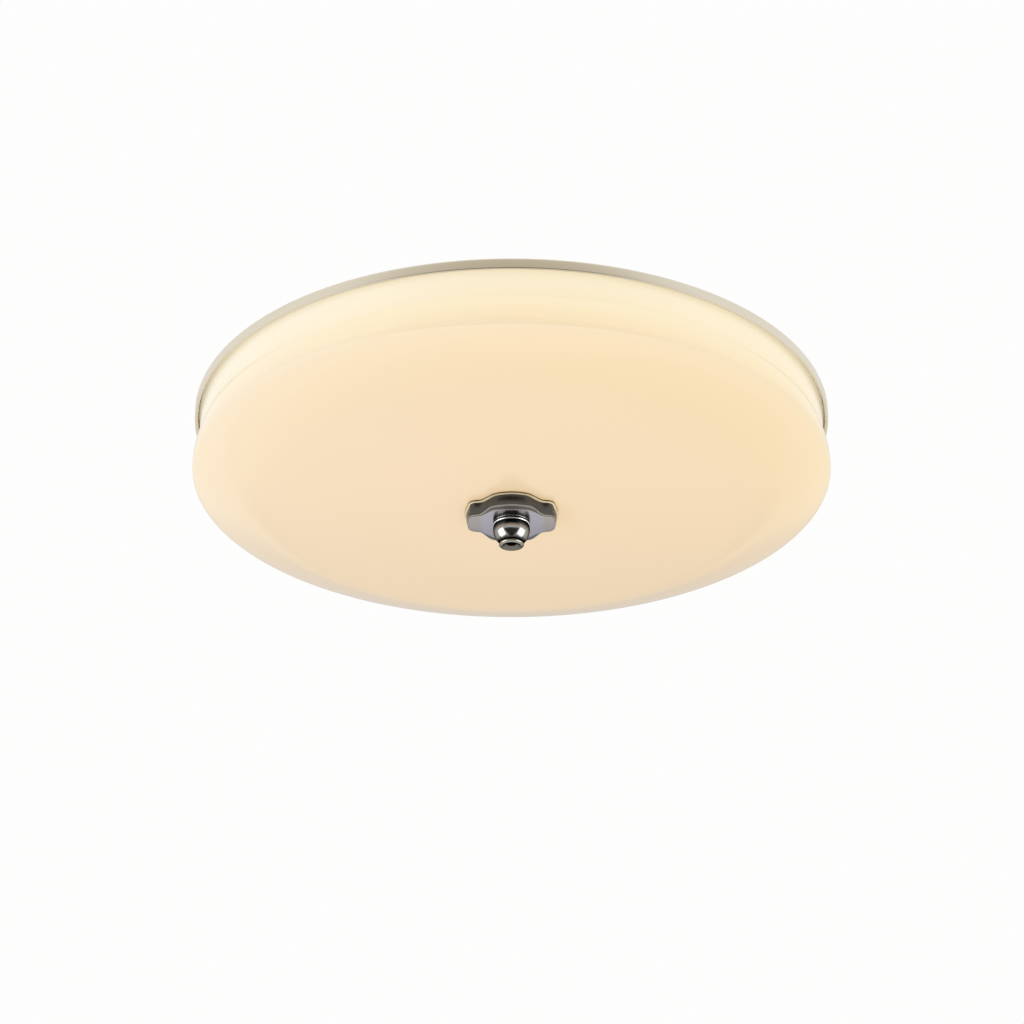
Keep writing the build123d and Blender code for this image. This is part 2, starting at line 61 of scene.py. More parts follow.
# ======== ceiling pan ========
# Pressed steel dish, 1 mm thick: a tray for the gear, a step up to the flat ring that touches the
# ceiling, and a hemmed rim. Champagne paint. Its rim is all that shows of it under the ceiling.
SHEET = 1.0
PAN_R = 200.0
RIM_FOOT = -7.0
HEM_TOP = -3.5             # where the sheet folded back inside the rim ends
STEP_R = 174.0             # where the ring that touches the ceiling starts
TRAY_R = 164.0
TRAY_TOP = -10.0
TRAY_FACE = TRAY_TOP - SHEET
SHEET_LEAN = 0.41          # how far the sloping step sets the lower face outwards
ROD_HOLE_R = 5.3           # clears the rod, in the pan and in what hangs on the rod
M4_PLACES = [(-14, 0), (14, 0)]
WIRE_HOLE = (0, -30)
EARTH_PLACES = [(34, -44)]
DRIVER_PLACES = [(-44.5, 42), (44.5, 42)]
BLOCK_PLACES = [(-5.5, -56), (5.5, -56)]


def on_circle(radius, start, count):
    """Places at equal turns round the axis, the first one at start degrees."""
    turns = [radians(start + 360 * place / count) for place in range(count)]
    return [(radius * cos(turn), radius * sin(turn)) for turn in turns]


BOARD_PLACES = on_circle(123, 30, 6)
HOLES = [                  # radius, and the places that have it
    (2.3, M4_PLACES), (6.5, [WIRE_HOLE]), (2.05, EARTH_PLACES), (1.55, DRIVER_PLACES),
    (1.3, BLOCK_PLACES), (1.55, BOARD_PLACES),
]


def drawn(corners, fine=9, bend_runs=None):
    """Points of a closed outline of (x, y, bend radius) corners, bent in runs of fine degrees."""
    points = []
    for place, (x, y, bend) in enumerate(corners):
        corner = Vector((x, y))
        back = (Vector(corners[place - 1][:2]) - corner).normalized()
        ahead = (Vector(corners[(place + 1) % len(corners)][:2]) - corner).normalized()
        turn = pi - back.angle(ahead)
        if bend <= 0 or turn < 0.001:
            points.append(corner)
            continue
        middle = (back + ahead).normalized()
        centre = corner + middle * bend / cos(turn / 2)
        start = corner + back * bend * tan(turn / 2) - centre
        side = 1 if back.x * ahead.y - back.y * ahead.x < 0 else -1
        runs = bend_runs or max(2, ceil(turn / radians(fine)))
        for run in range(runs + 1):
            points.append(centre + Matrix.Rotation(side * turn * run / runs, 2) @ start)
    return [(point.x, point.y) for point in points]


def work_on(*objects):
    """Goes to object mode and selects only these objects, the first one active."""
    if bpy.context.mode != "OBJECT":
        bpy.ops.object.mode_set(mode="OBJECT")
    bpy.ops.object.select_all(action="DESELECT")
    for obj in objects:
        obj.select_set(True)
    if objects:
        bpy.context.view_layer.objects.active = objects[0]


def mesh_edit(obj, pick="SELECT"):
    """Goes into edit mode with all of the mesh selected, or none of it."""
    work_on(obj)
    bpy.ops.object.mode_set(mode="EDIT")
    bpy.ops.mesh.select_all(action=pick)


def line_start(name, start):
    """New mesh of one vertex, in edit mode, from which a line is drawn by extruding."""
    work_on()
    bpy.ops.mesh.primitive_plane_add(size=MM)
    obj = bpy.context.object
    obj.name = name
    bpy.ops.object.mode_set(mode="EDIT")
    bpy.ops.mesh.select_all(action="SELECT")
    bpy.ops.mesh.merge(type="CENTER")
    bpy.ops.transform.translate(value=start)
    return obj


def draw_on(points):
    """Extrudes the last vertex from point to point."""
    for before, after in zip(points, points[1:]):
        step = Vector(after) - Vector(before)
        bpy.ops.mesh.extrude_region_move(TRANSFORM_OT_translate={"value": step})


def lathe(name, section, steps=128, axis="Z", at=(0, 0, 0), sharp=35):
    """Turned piece: a closed section of (radius, height) points spun about an axis through `at`."""
    centre = Vector(at) * MM
    if axis == "Z":
        spots = [centre + Vector((radius, 0, height)) * MM for radius, height in section]
    else:
        spots = [centre + Vector((height, radius, 0)) * MM for radius, height in section]
    obj = line_start(name, spots[0])
    draw_on([*spots, spots[0]])
    bpy.ops.mesh.select_all(action="SELECT")
    around = (0, 0, 1) if axis == "Z" else (1, 0, 0)
    bpy.ops.mesh.spin(steps=steps, angle=2 * pi, center=centre, axis=around)
    return finished(obj, sharp)


def finished(obj, sharp=35):
    """Closes seams and poles, turns faces outwards, and smooths all but the sharp edges."""
    mesh_edit(obj)
    bpy.ops.mesh.remove_doubles(threshold=0.004 * MM)
    bpy.ops.mesh.dissolve_degenerate(threshold=0.001 * MM)
    bpy.ops.mesh.select_all(action="SELECT")
    bpy.ops.mesh.delete_loose()
    bpy.ops.mesh.select_all(action="SELECT")
    bpy.ops.mesh.normals_make_consistent(inside=False)
    bpy.ops.object.mode_set(mode="OBJECT")
    bpy.ops.object.shade_smooth_by_angle(angle=radians(sharp))
    return obj


def cut(obj, tools, operation="DIFFERENCE"):
    """Cuts the tools out of a piece, or keeps what it shares with them, and removes the tools."""
    for tool in tools:
        change = obj.modifiers.new("cut", "BOOLEAN")
        change.operation = operation
        change.solver = "MANIFOLD"
        change.object = tool
        work_on(obj)
        bpy.ops.object.modifier_apply(modifier=change.name)
        bpy.data.objects.remove(tool)
    return obj


def drill(radius, x, y, top, bottom, sides=40):
    """Round cutter between two heights."""
    work_on()
    bpy.ops.mesh.primitive_cylinder_add(
        vertices=sides, radius=radius * MM, depth=(top - bottom) * MM,
        location=(x * MM, y * MM, (top + bottom) / 2 * MM),
    )
    return bpy.context.object


def joined(name, pieces):
    """One object of all the pieces, with their places taken into its mesh."""
    work_on(*pieces)
    if len(pieces) > 1:
        bpy.ops.object.join()
    obj = bpy.context.object
    obj.name = name
    work_on(obj)
    bpy.ops.object.transform_apply(location=True, rotation=True, scale=True)
    return obj


class Tone:
    """Value that varies over a surface; arithmetic on it adds the Math nodes."""

    def __init__(self, finish, socket):
        self.finish = finish
        self.socket = socket

    def maths(self, operation, *values):
        return self.finish.node("ShaderNodeMath", {"operation": operation}, dict(enumerate(values)))

    def __add__(self, other):
        return self.maths("ADD", self, other)

    def __radd__(self, other):
        return self.maths("ADD", other, self)

    def __sub__(self, other):
        return self.maths("SUBTRACT", self, other)

    def __rsub__(self, other):
        return self.maths("SUBTRACT", other, self)

    def __mul__(self, other):
        return self.maths("MULTIPLY", self, other)

    def __rmul__(self, other):
        return self.maths("MULTIPLY", other, self)

    def __pow__(self, other):
        return self.maths("POWER", self, other)


class Nodes:
    """Shader nodes of one finish or of the room."""

    def __init__(self, tree):
        self.tree = tree

    def node(self, kind, settings, sockets, result=0):
        """New node of this kind, with its settings and its sockets' values or links."""
        node = self.tree.nodes.new(kind)
        for label, value in settings.items():
            if label != "stops":
                setattr(node, label, value)
                continue
            band = node.color_ramp.elements
            while len(band) < len(value):
                band.new(0.5)
            for stop, (place, colour) in zip(band, value):
                stop.position = place
                stop.color = (*colour, 1)
        for label, value in sockets.items():
            if isinstance(value, Tone):
                self.tree.links.new(value.socket, node.inputs[label])
            else:
                node.inputs[label].default_value = value
        return Tone(self, node.outputs[result])

    def split(self, spot):
        """The x, y and z of a place."""
        return [self.node("ShaderNodeSeparateXYZ", {}, {0: spot}, axis) for axis in "XYZ"]

    def step(self, value, low, high):
        """Rises smoothly from 0 at low to 1 at high, or falls where low is the larger."""
        ends = {"Value": value, "From Min": low, "From Max": high}
        return self.node("ShaderNodeMapRange", {"interpolation_type": "SMOOTHSTEP"}, ends, "Result")

    def mix(self, share, first, second):
        """First colour, going over to the second as share goes from 0 to 1."""
        colours = {0: share}
        for label, colour in ((6, first), (7, second)):
            colours[label] = colour if isinstance(colour, Tone) else (*colour, 1)
        return self.node("ShaderNodeMix", {"data_type": "RGBA"}, colours, 2)


class Finish(Nodes):
    """Surface finish: one Principled shader, its plain settings, and the nodes that vary it."""

    def __init__(self, name, colour, roughness, **settings):
        self.material = bpy.data.materials.new(name)
        self.material.use_nodes = True
        super().__init__(self.material.node_tree)
        self.shader = self.tree.nodes["Principled BSDF"]
        self.shader.inputs["Base Color"].default_value = (*colour, 1)
        self.shader.inputs["Roughness"].default_value = roughness
        for label, value in settings.items():
            self.shader.inputs[label.replace("_", " ")].default_value = value

    def place(self, stretch=(1, 1, 1)):
        """Place on the piece, in metres, each axis multiplied by its stretch."""
        spot = self.node("ShaderNodeTexCoord", {}, {}, "Object")
        return self.node("ShaderNodeMapping", {}, {"Vector": spot, "Scale": stretch})

    def cloud(self, scale, detail=3.0, stretch=(1, 1, 1)):
        """Soft noise between 0 and 1."""
        sockets = {"Scale": scale, "Detail": detail, "Vector": self.place(stretch)}
        return self.node("ShaderNodeTexNoise", {}, sockets, "Fac")

    def vary(self, label, tone):
        self.tree.links.new(tone.socket, self.shader.inputs[label])

    def bump(self, height, strength, distance=0.0005):
        sockets = {"Height": height, "Strength": strength, "Distance": distance}
        self.vary("Normal", self.node("ShaderNodeBump", {}, sockets, "Normal"))

    def on(self, obj):
        obj.data.materials.clear()
        obj.data.materials.append(self.material)


def fitted(obj, body, node, finish=None):
    """The piece gets its finish, rides on its body and stands for its CAD node."""
    if finish:
        finish.on(obj)
    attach(obj, body)
    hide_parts(node)


pan_section = drawn([
    (ROD_HOLE_R, TRAY_TOP, 0.3), (TRAY_R, TRAY_TOP, 2.2), (STEP_R, 0, 1.6), (PAN_R, 0, 1.5),
    (PAN_R, RIM_FOOT, 0.98), (PAN_R - 2 * SHEET, RIM_FOOT, 0.98), (PAN_R - 2 * SHEET, HEM_TOP, 0.3),
    (PAN_R - SHEET, HEM_TOP, 0), (PAN_R - SHEET, -SHEET, 0.5), (STEP_R + SHEET_LEAN, -SHEET, 2.6),
    (TRAY_R + SHEET_LEAN, TRAY_FACE, 1.2), (ROD_HOLE_R, TRAY_FACE, 0.3),
])
ceiling_pan = lathe("ceiling_pan_piece", pan_section, steps=320)
for radius, places in HOLES:
    cut(ceiling_pan, [drill(radius, x, y, TRAY_TOP + 2, TRAY_FACE - 2, 48) for x, y in places])
finished(ceiling_pan)

pan_paint = Finish("champagne_paint", (0.75, 0.69, 0.57), 0.3, Metallic=1.0)
flakes = pan_paint.cloud(9000, 1.0)
drift = pan_paint.cloud(14)
pan_paint.vary("Roughness", 0.27 + flakes * 0.08 + drift * 0.04)
pan_paint.vary("Base Color", pan_paint.mix(drift, (0.73, 0.66, 0.535), (0.77, 0.71, 0.60)))
pan_paint.bump(flakes * 0.3 + pan_paint.cloud(700, 2.0), 0.12, 0.0002)
fitted(ceiling_pan, "fixture", "ceiling_pan", pan_paint)


# ======== mounting crossbar ========
# Strip of 1.8 mm steel, sunk in the middle, with folded lips that stiffen it, a tapped hole for the
# rod, and a slot each side for the screws of the junction box. Zinc plated.
BAR_END = 62.0             # half its length
BAR_SIDE = 13.0            # half its width
BAR_THICK = 1.8
BAR_SUNK = -8.2            # upper face of the sunk middle
LIP_FOOT = -9.2
LIP_TOP = -5.2
SLOT_X = 42.0
SLOT_HALF = 13.0
SLOT_SIDE = 2.3
ROD_TAP_R = 5.05


def pressed(name, outline, push):
    """Flat closed outline of points, given its thickness by one push."""
    spots = [Vector(point) * MM for point in outline]
    obj = line_start(name, spots[0])
    draw_on([*spots, spots[0]])
    bpy.ops.mesh.select_all(action="SELECT")
    bpy.ops.mesh.remove_doubles(threshold=0.000001)
    bpy.ops.mesh.edge_face_add()
    bpy.ops.mesh.extrude_region_move(TRANSFORM_OT_translate={"value": Vector(push) * MM})
    return finished(obj)


def upright(name, outline, foot, height):
    """Upright block over a flat outline of (x, y) points."""
    return pressed(name, [(x, y, foot) for x, y in outline], (0, 0, height))


def oblong(half_x, half_y, x=0):
    """Corners of a rectangle round a place on the X axis."""
    left, right = x - half_x, x + half_x
    return [(left, -half_y), (right, -half_y), (right, half_y), (left, half_y)]


def bevel_edges(obj, width, pick, segments=3):
    """Rounds the edges that pick chooses from their two ends, in millimetres."""
    mesh_edit(obj, "DESELECT")
    bpy.ops.mesh.select_mode(type="EDGE")
    skin = bmesh.from_edit_mesh(obj.data)
    for edge in skin.edges:
        ends = [vertex.co / MM for vertex in edge.verts]
        edge.select = bool(pick(*ends))
    bmesh.update_edit_mesh(obj.data)
    bpy.ops.mesh.bevel(offset=width * MM, segments=segments, affect="EDGES")
    bpy.ops.mesh.select_mode(type="VERT")
    return finished(obj)


strip = drawn([
    (-BAR_END, 0, 0), (-27, 0, 2.6), (-21, BAR_SUNK, 1.2),
    (21, BAR_SUNK, 1.2), (27, 0, 2.6), (BAR_END, 0, 0),
    (BAR_END, -BAR_THICK, 0), (27.8, -BAR_THICK, 1.0), (21.8, BAR_SUNK - BAR_THICK, 2.8),
    (-21.8, BAR_SUNK - BAR_THICK, 2.8), (-27.8, -BAR_THICK, 1.0), (-BAR_END, -BAR_THICK, 0),
])
strip = [(x, -BAR_SIDE, z) for x, z in strip]
crossbar = pressed("mounting_crossbar_piece", strip, (0, 2 * BAR_SIDE, 0))


def end_corner(one, two):
    return abs(one.x) > BAR_END - 0.1 and abs(one.z - two.z) > 1


crossbar = bevel_edges(crossbar, 4, end_corner, 6)
for side in (-1, 1):
    lip = drawn([
        (-20.6, LIP_FOOT, 0), (20.6, LIP_FOOT, 0), (20.6, LIP_TOP, 1.6), (-20.6, LIP_TOP, 1.6),
    ])
    lip = [(x, side * BAR_SIDE, z) for x, z in lip]
    cut(crossbar, [pressed("lip", lip, (0, -side * BAR_THICK, 0))], "UNION")
    slot_corners = oblong(SLOT_HALF, SLOT_SIDE, side * SLOT_X)
    slot = drawn([(x, y, SLOT_SIDE - 0.01) for x, y in slot_corners])
    cut(crossbar, [upright("slot", slot, -4, 6)])
cut(crossbar, [drill(ROD_TAP_R, 0, 0, -5, -14, 48)])
cut(crossbar, [drill(2.05, x, y, -5, -14) for x, y in M4_PLACES])
finished(crossbar)

zinc = Finish("bright_zinc", (0.66, 0.67, 0.68), 0.3, Metallic=1.0)
bloom = zinc.cloud(160, 4.0)
grain = zinc.cloud(1500, 2.0, (1, 6, 1))
cloudy = zinc.step(bloom, 0.35, 0.7)
zinc.vary("Base Color", zinc.mix(cloudy, (0.60, 0.63, 0.67), (0.72, 0.70, 0.63)))
zinc.vary("Roughness", 0.24 + grain * 0.12 + bloom * 0.08)
zinc.bump(grain, 0.08, 0.0001)
fitted(crossbar, "fixture", "mounting_crossbar", zinc)


# ======== threaded rod ========
# Hollow M10 x 1 lamp rod, zinc plated, with its thread rolled from end to end. The wires of other
# lights run through its bore; here it carries the pan on its nut and the shade on the knob.
ROD_TOP = -3.0
ROD_END = -77.3
BORE_R = 3.4
CORE_R = 4.7
THREAD_R = 5.0
THREAD_ROOT = 4.5          # a little inside the core, so that the two overlap
THREAD_TURNS = 72          # of 1 mm pitch

rod = lathe("threaded_rod_piece", drawn([
    (BORE_R, ROD_TOP, 0.2), (CORE_R, ROD_TOP, 0.5), (CORE_R, ROD_END, 0.5), (BORE_R, ROD_END, 0.2),
]), steps=48)
first_turn = ROD_END + 1.1  # height of the thread's crest at its lower end
ridge = [(THREAD_ROOT, first_turn - 0.4), (THREAD_R, first_turn), (THREAD_ROOT, first_turn + 0.4)]
ridge = [Vector((radius, 0, height)) * MM for radius, height in ridge]
thread = line_start("thread", ridge[0])
draw_on([*ridge, ridge[0]])
bpy.ops.mesh.select_all(action="SELECT")
bpy.ops.mesh.remove_doubles(threshold=0.000001)
bpy.ops.object.mode_set(mode="OBJECT")
coil = thread.modifiers.new("coil", "SCREW")
coil.screw_offset = MM
coil.iterations = THREAD_TURNS
coil.steps = coil.render_steps = 24
work_on(thread)
bpy.ops.object.modifier_apply(modifier=coil.name)
mesh_edit(thread)
bpy.ops.mesh.fill_holes(sides=3)
finished(thread)
rod = joined("threaded_rod_piece", [rod, thread])
fitted(rod, "fixture", "threaded_rod", zinc)


# ======== nuts and lock washer ========
# Two hexagon nuts on the lamp thread, 14 mm across flats and chamfered both sides: one locks the
# rod in the crossbar, the other clamps the tray over a toothed washer.
ACROSS_FLATS = 14.0
NUT_H = 3.5


def lock_nut(name, top):
    """Chamfered hexagon with a threaded bore."""
    foot = top - NUT_H
    corners = on_circle(ACROSS_FLATS / 3 ** 0.5, 30, 6)
    nut = upright(name, corners, foot, NUT_H)
    barrel = [(0, top), (6.9, top), (8.3, top - 0.65), (8.3, foot + 0.65), (6.9, foot), (0, foot)]
    cut(nut, [lathe("barrel", barrel, steps=72)], "INTERSECT")
    tap = [(0, top + 1), (5.5, top + 1), (5.5, top), (ROD_TAP_R, top - 0.4)]
    for turn in range(3):
        tap += [(5.35, top - 0.75 - turn), (ROD_TAP_R, top - 1.1 - turn)]
    tap += [(5.5, foot), (5.5, foot - 1), (0, foot - 1)]
    cut(nut, [lathe("tap", tap, steps=48)])
    return finished(nut)


fitted(lock_nut("crossbar_nut_piece", -4.7), "fixture", "crossbar_nut", zinc)
fitted(lock_nut("pan_nut_piece", -11.8), "fixture", "pan_nut", zinc)
zinc.on(frame["nodes"]["lock_washer"])


# ======== screws through the pan ========
# Two M4 pan head screws draw the pan up to the crossbar. All the small screws are of this kind: a
# domed head with a cross recess and a rolled thread, zinc plated.
def pan_head_screw(shank_r, head_r, head_h, length, face, pitch=0.7):
    """Screw on the axis, driven upwards: its head hangs below the face that it holds."""
    low = face - head_h
    tip = face + length
    outline = [
        (0, low), (head_r * 0.5, low), (head_r * 0.8, low + head_h * 0.1),
        (head_r * 0.95, low + head_h * 0.35), (head_r, low + head_h * 0.65), (head_r, face - 0.1),
        (head_r - 0.1, face), (shank_r, face),
    ]
    height = face + pitch
    while height < tip - 0.6:
        outline += [(shank_r * 0.84, height - pitch * 0.5), (shank_r, height)]
        height += pitch
    outline += [(shank_r * 0.8, tip - 0.25), (shank_r * 0.6, tip), (0, tip)]
    screw = lathe("screw", outline, steps=28)
    for wide, deep in ((head_r * 0.62, head_r * 0.14), (head_r * 0.14, head_r * 0.62)):
        cut(screw, [upright("recess", oblong(wide, deep), low - 1, 1 + head_h * 0.6)])
    return finished(screw)


def repeated(name, model, moves):
    """The finished model copied to each place and joined to one mesh; the model is used up."""
    copies = []
    for move in moves:
        copy = model.copy()
        copy.data = model.data.copy()
        bpy.context.scene.collection.objects.link(copy)
        copy.matrix_world = move
        copies.append(copy)
    bpy.data.objects.remove(model)
    return joined(name, copies)


def beside(places):
    """Moves from the axis to these places."""
    return [Matrix.Translation(Vector((x, y, 0)) * MM) for x, y in places]


def screwed_in(node, places, slot, finish, **sizes):
    """Like screws at their places, as the one piece that stands for this node."""
    screws = repeated(node + "_piece", pan_head_screw(**sizes), beside(places))
    fitted(screws, "fixture", node, finish)


screwed_in(
    "pan_screws", M4_PLACES, "zinc_steel", zinc,
    shank_r=2.0, head_r=3.8, head_h=2.4, length=4.6, face=TRAY_FACE,
)


# ======== shade gasket ========
# Ring cut from white closed-cell foam strip, stuck inside the rim, on which the glass seats.
GLASS_TOP = -3.0           # where the foam ends and the rim of the glass starts
gasket = lathe("shade_gasket_piece", drawn([
    (190, -SHEET, 0.3), (197.4, -SHEET, 0.3), (197.4, GLASS_TOP, 0.6), (190, GLASS_TOP, 0.6),
], fine=30), steps=256)
foam = Finish("white_foam", (0.9, 0.9, 0.88), 0.85)
cells = foam.node("ShaderNodeTexVoronoi", {}, {"Vector": foam.place(), "Scale": 1400.0}, "Distance")
foam.vary("Base Color", foam.mix(cells, (0.80, 0.80, 0.78), (0.93, 0.93, 0.91)))
foam.bump(cells, 0.5, 0.0004)
fitted(gasket, "fixture", "shade_gasket", foam)


# ======== LED ring ========
# Ring-shaped aluminium board under a white solder mask, with two rings of small white LEDs, a plug
# for the two leads of the driver, and six screws that press it on the tray for cooling.
BOARD_FACE = -12.6
TRACK_RADII = (0.1062, 0.1138, 0.1322, 0.1398)  # metres, one each side of each ring of LEDs
CHIP_RINGS = ((0.110, 24), (0.136, 32))  # radius in metres and number
CHIP_TURN = 7.5            # degrees from the +X side to the first LED
PLUG_X = 98.0
PLUG_Z = -15.1
PLUG_LENGTH = 9.0
PLUG_H = 5.0
LEAD_APART = 1.6           # from the middle of the plug to each lead

board_mask = Finish("white_solder_mask", (0.9, 0.9, 0.88), 0.35, Coat_Weight=0.4)
x, y, height = board_mask.split(board_mask.place())
out = (x * x + y * y) ** 0.5
tracks = 0
for line in TRACK_RADII:
    tracks = board_mask.step(((out - line) ** 2) ** 0.5, 0.0013, 0.0010) + tracks
weave = board_mask.cloud(2500, 2.0)
raised = tracks * 0.8 + weave * 0.1
board_mask.vary("Base Color", board_mask.mix(raised, (0.92, 0.92, 0.90), (0.80, 0.81, 0.74)))
board_mask.vary("Roughness", 0.32 + weave * 0.1)
board_mask.bump(tracks + weave * 0.15, 0.35, 0.0001)
board_mask.on(frame["nodes"]["led_board"])

work_on()
bpy.ops.mesh.primitive_cube_add(size=MM, location=(0, 0, -0.013), scale=(2.8, 3.5, 0.8))
chip = joined("chip", [bpy.context.object])
mesh_edit(chip, "DESELECT")
bpy.ops.mesh.select_mode(type="FACE")
for face in bmesh.from_edit_mesh(chip.data).faces:
    face.select = face.normal.z < -0.9
bmesh.update_edit_mesh(chip.data)
bpy.ops.mesh.inset(thickness=0.35 * MM)
bpy.ops.mesh.extrude_region_move(TRANSFORM_OT_translate={"value": (0, 0, 0.12 * MM)})
bpy.ops.mesh.inset(thickness=0.15 * MM)
bpy.ops.object.mode_set(mode="OBJECT")
chip_body = Finish("chip_housing", (0.93, 0.92, 0.88), 0.4)
chip_body.vary("Roughness", 0.35 + chip_body.cloud(4000) * 0.15)
phosphor = Finish("led_phosphor", (0.98, 0.80, 0.34), 0.25, Emission_Strength=1.0)
dots = phosphor.cloud(6000, 2.0)
phosphor.vary("Base Color", phosphor.mix(dots, (0.98, 0.84, 0.40), (0.96, 0.74, 0.26)))
phosphor.vary("Emission Color", phosphor.mix(dots, (1.0, 0.80, 0.46), (0.95, 0.72, 0.38)))
chip_body.on(chip)
chip.data.materials.append(phosphor.material)
for face in chip.data.polygons:
    in_middle = face.center.xy.length < 0.1 * MM
    face.material_index = int(face.normal.z < -0.9 and in_middle)
chip_moves = []
for radius, count in CHIP_RINGS:
    for step in range(count):
        turn = Matrix.Rotation(radians(CHIP_TURN + 360 * step / count), 4, "Z")
        chip_moves.append(turn @ Matrix.Translation((radius, 0, 0)))
chips = repeated("led_chips_piece", chip, chip_moves)
fitted(chips, "fixture", "led_chips")

work_on()
bpy.ops.mesh.primitive_cube_add(
    size=MM, location=Vector((PLUG_X, 0, PLUG_Z)) * MM, scale=(PLUG_LENGTH, 8, PLUG_H),
)
plug = joined("board_plug_piece", [bpy.context.object])
plug_foot = PLUG_Z - PLUG_H / 2


def round_the_foot(one, two):
    return max(one.z, two.z) < plug_foot + 0.1


plug = bevel_edges(plug, 0.6, round_the_foot, 1)
plug_cuts = []
for side in (-1, 1):
    entry = [(0, 92), (1.15, 92), (1.15, 94.6), (0, 94.6)]
    plug_cuts.append(lathe("entry", entry, 24, "X", (0, side * LEAD_APART, PLUG_Z)))
    groove = oblong(0.5, 2.4, 94.5 + side)
    plug_cuts.append(upright("groove", groove, plug_foot - 0.1, 0.4))
plug = finished(cut(plug, plug_cuts))
nylon = Finish("natural_nylon", (0.9, 0.89, 0.85), 0.42, Subsurface_Weight=0.1)
nylon.shader.inputs["Subsurface Radius"].default_value = (0.002, 0.0018, 0.0014)
pull = nylon.cloud(260)
nylon.vary("Base Color", nylon.mix(pull, (0.88, 0.865, 0.82), (0.93, 0.92, 0.885)))
nylon.vary("Roughness", 0.36 + pull * 0.14)
nylon.bump(nylon.cloud(2200, 2.0), 0.12, 0.0001)
fitted(plug, "fixture", "board_plug", nylon)

screwed_in(
    "board_screws", BOARD_PLACES, "zinc_steel", zinc,
    shank_r=1.5, head_r=2.8, head_h=1.8, length=5.6, face=BOARD_FACE, pitch=0.5,
)


# ======== driver ========
# Current supply of the LEDs in a plastic case with a vented lid. A screw through the ear at each
# end holds it to the tray, and a ribbed rubber strain relief at each end passes two leads.
STUB_Y = 32.0
STUB_Z = -20.0

shell = Finish("driver_plastic", (0.86, 0.86, 0.84), 0.5)
eroded = shell.cloud(3200, 3.0)
shell.vary("Base Color", shell.mix(shell.cloud(60), (0.84, 0.84, 0.82), (0.88, 0.88, 0.86)))
shell.vary("Roughness", 0.44 + eroded * 0.16)
shell.bump(eroded, 0.3, 0.0001)
for name in ("driver_case", "driver_lid"):
    shell.on(frame["nodes"][name])

rubber = Finish("black_rubber", (0.035, 0.035, 0.035), 0.6)
dust = rubber.cloud(420, 4.0)
rubber.vary("Base Color", rubber.mix(dust, (0.028, 0.028, 0.028), (0.055, 0.054, 0.052)))
rubber.vary("Roughness", 0.5 + dust * 0.22)
rubber.bump(rubber.cloud(2600, 2.0), 0.2, 0.0001)
stub_outline = [           # radius, and distance from the middle of the case
    (0, 39), (3.6, 39), (3.6, 39.5), (3.05, 39.6), (3.05, 39.9), (3.3, 40), (3.2, 40.4),
    (2.75, 40.5), (2.75, 40.8), (3.0, 40.9), (2.9, 41.3), (2.5, 41.4), (2.5, 41.85),
    (2.35, 42), (0, 42),
]
stubs = []
for side in (-1, 1):
    ribbed = [(radius, side * reach) for radius, reach in stub_outline]
    stubs.append(lathe("stub", ribbed, 40, "X", (0, STUB_Y, STUB_Z)))
stubs = joined("driver_stubs_piece", stubs)
fitted(stubs, "fixture", "driver_stubs", rubber)

screwed_in(
    "driver_screws", DRIVER_PLACES, "zinc_steel", zinc,
    shank_r=1.5, head_r=2.8, head_h=1.8, length=6.5, face=-13.5, pitch=0.5,
)


# ======== terminal block ========
# Three-pole screw clamp of natural nylon for live, neutral and earth, with slotted brass clamp
# screws sunk in their wells and two M2.5 screws to the tray.
POLE_PITCH = 11.0
WELL_HALF = 5.0            # half the distance between a pole's two wells
BLOCK_Y = -56.0

nylon.on(frame["nodes"]["terminal_block"])

clamp_screw = lathe("clamp_screw", [
    (0, -23.5), (1.45, -23.5), (1.7, -23.25), (1.7, -21.2), (1.5, -21), (0, -21),
], steps=28)
cut(clamp_screw, [upright("slit", oblong(2, 0.28), -24, 1.2)])
finished(clamp_screw)
clamp_places = []
for pole in (-1, 0, 1):
    clamp_places += [(POLE_PITCH * pole, BLOCK_Y + WELL_HALF * end) for end in (-1, 1)]
clamp_moves = []
for place, move in enumerate(beside(clamp_places)):
    slit_turn = radians(35 + 52 * place)             # each is left at its own turn
    clamp_moves.append(move @ Matrix.Rotation(slit_turn, 4, "Z"))
clamp_screws = repeated("clamp_screws_piece", clamp_screw, clamp_moves)
brass = Finish("plain_brass", (0.78, 0.60, 0.30), 0.28, Metallic=1.0)
tarnish = brass.cloud(300, 4.0)
brass.vary("Base Color", brass.mix(tarnish, (0.80, 0.63, 0.33), (0.66, 0.48, 0.22)))
brass.vary("Roughness", 0.2 + tarnish * 0.2)
fitted(clamp_screws, "fixture", "clamp_screws", brass)

screwed_in(
    "block_screws", BLOCK_PLACES, "zinc_steel", zinc,
    shank_r=1.25, head_r=2.1, head_h=1.4, length=10.5, face=-18, pitch=0.45,
)


# ======== wire grommet ========
# Black rubber ring round the pan's wire hole, so that the supply wires don't rub on the sheet.
GROMMET_BORE_R = 5.0
GROMMET_TOP = -8.5
GROMMET_FOOT = -12.5

grommet = lathe("wire_grommet_piece", drawn([
    (GROMMET_BORE_R, GROMMET_TOP, 0.7), (8.1, GROMMET_TOP, 0.7), (8.5, TRAY_TOP, 0.2),
    (6.5, TRAY_TOP, 0), (6.5, TRAY_FACE, 0), (8.5, TRAY_FACE, 0.2),
    (8.1, GROMMET_FOOT, 0.7), (GROMMET_BORE_R, GROMMET_FOOT, 0.7),
], fine=20), steps=64, at=(*WIRE_HOLE, 0))
fitted(grommet, "fixture", "wire_grommet", rubber)


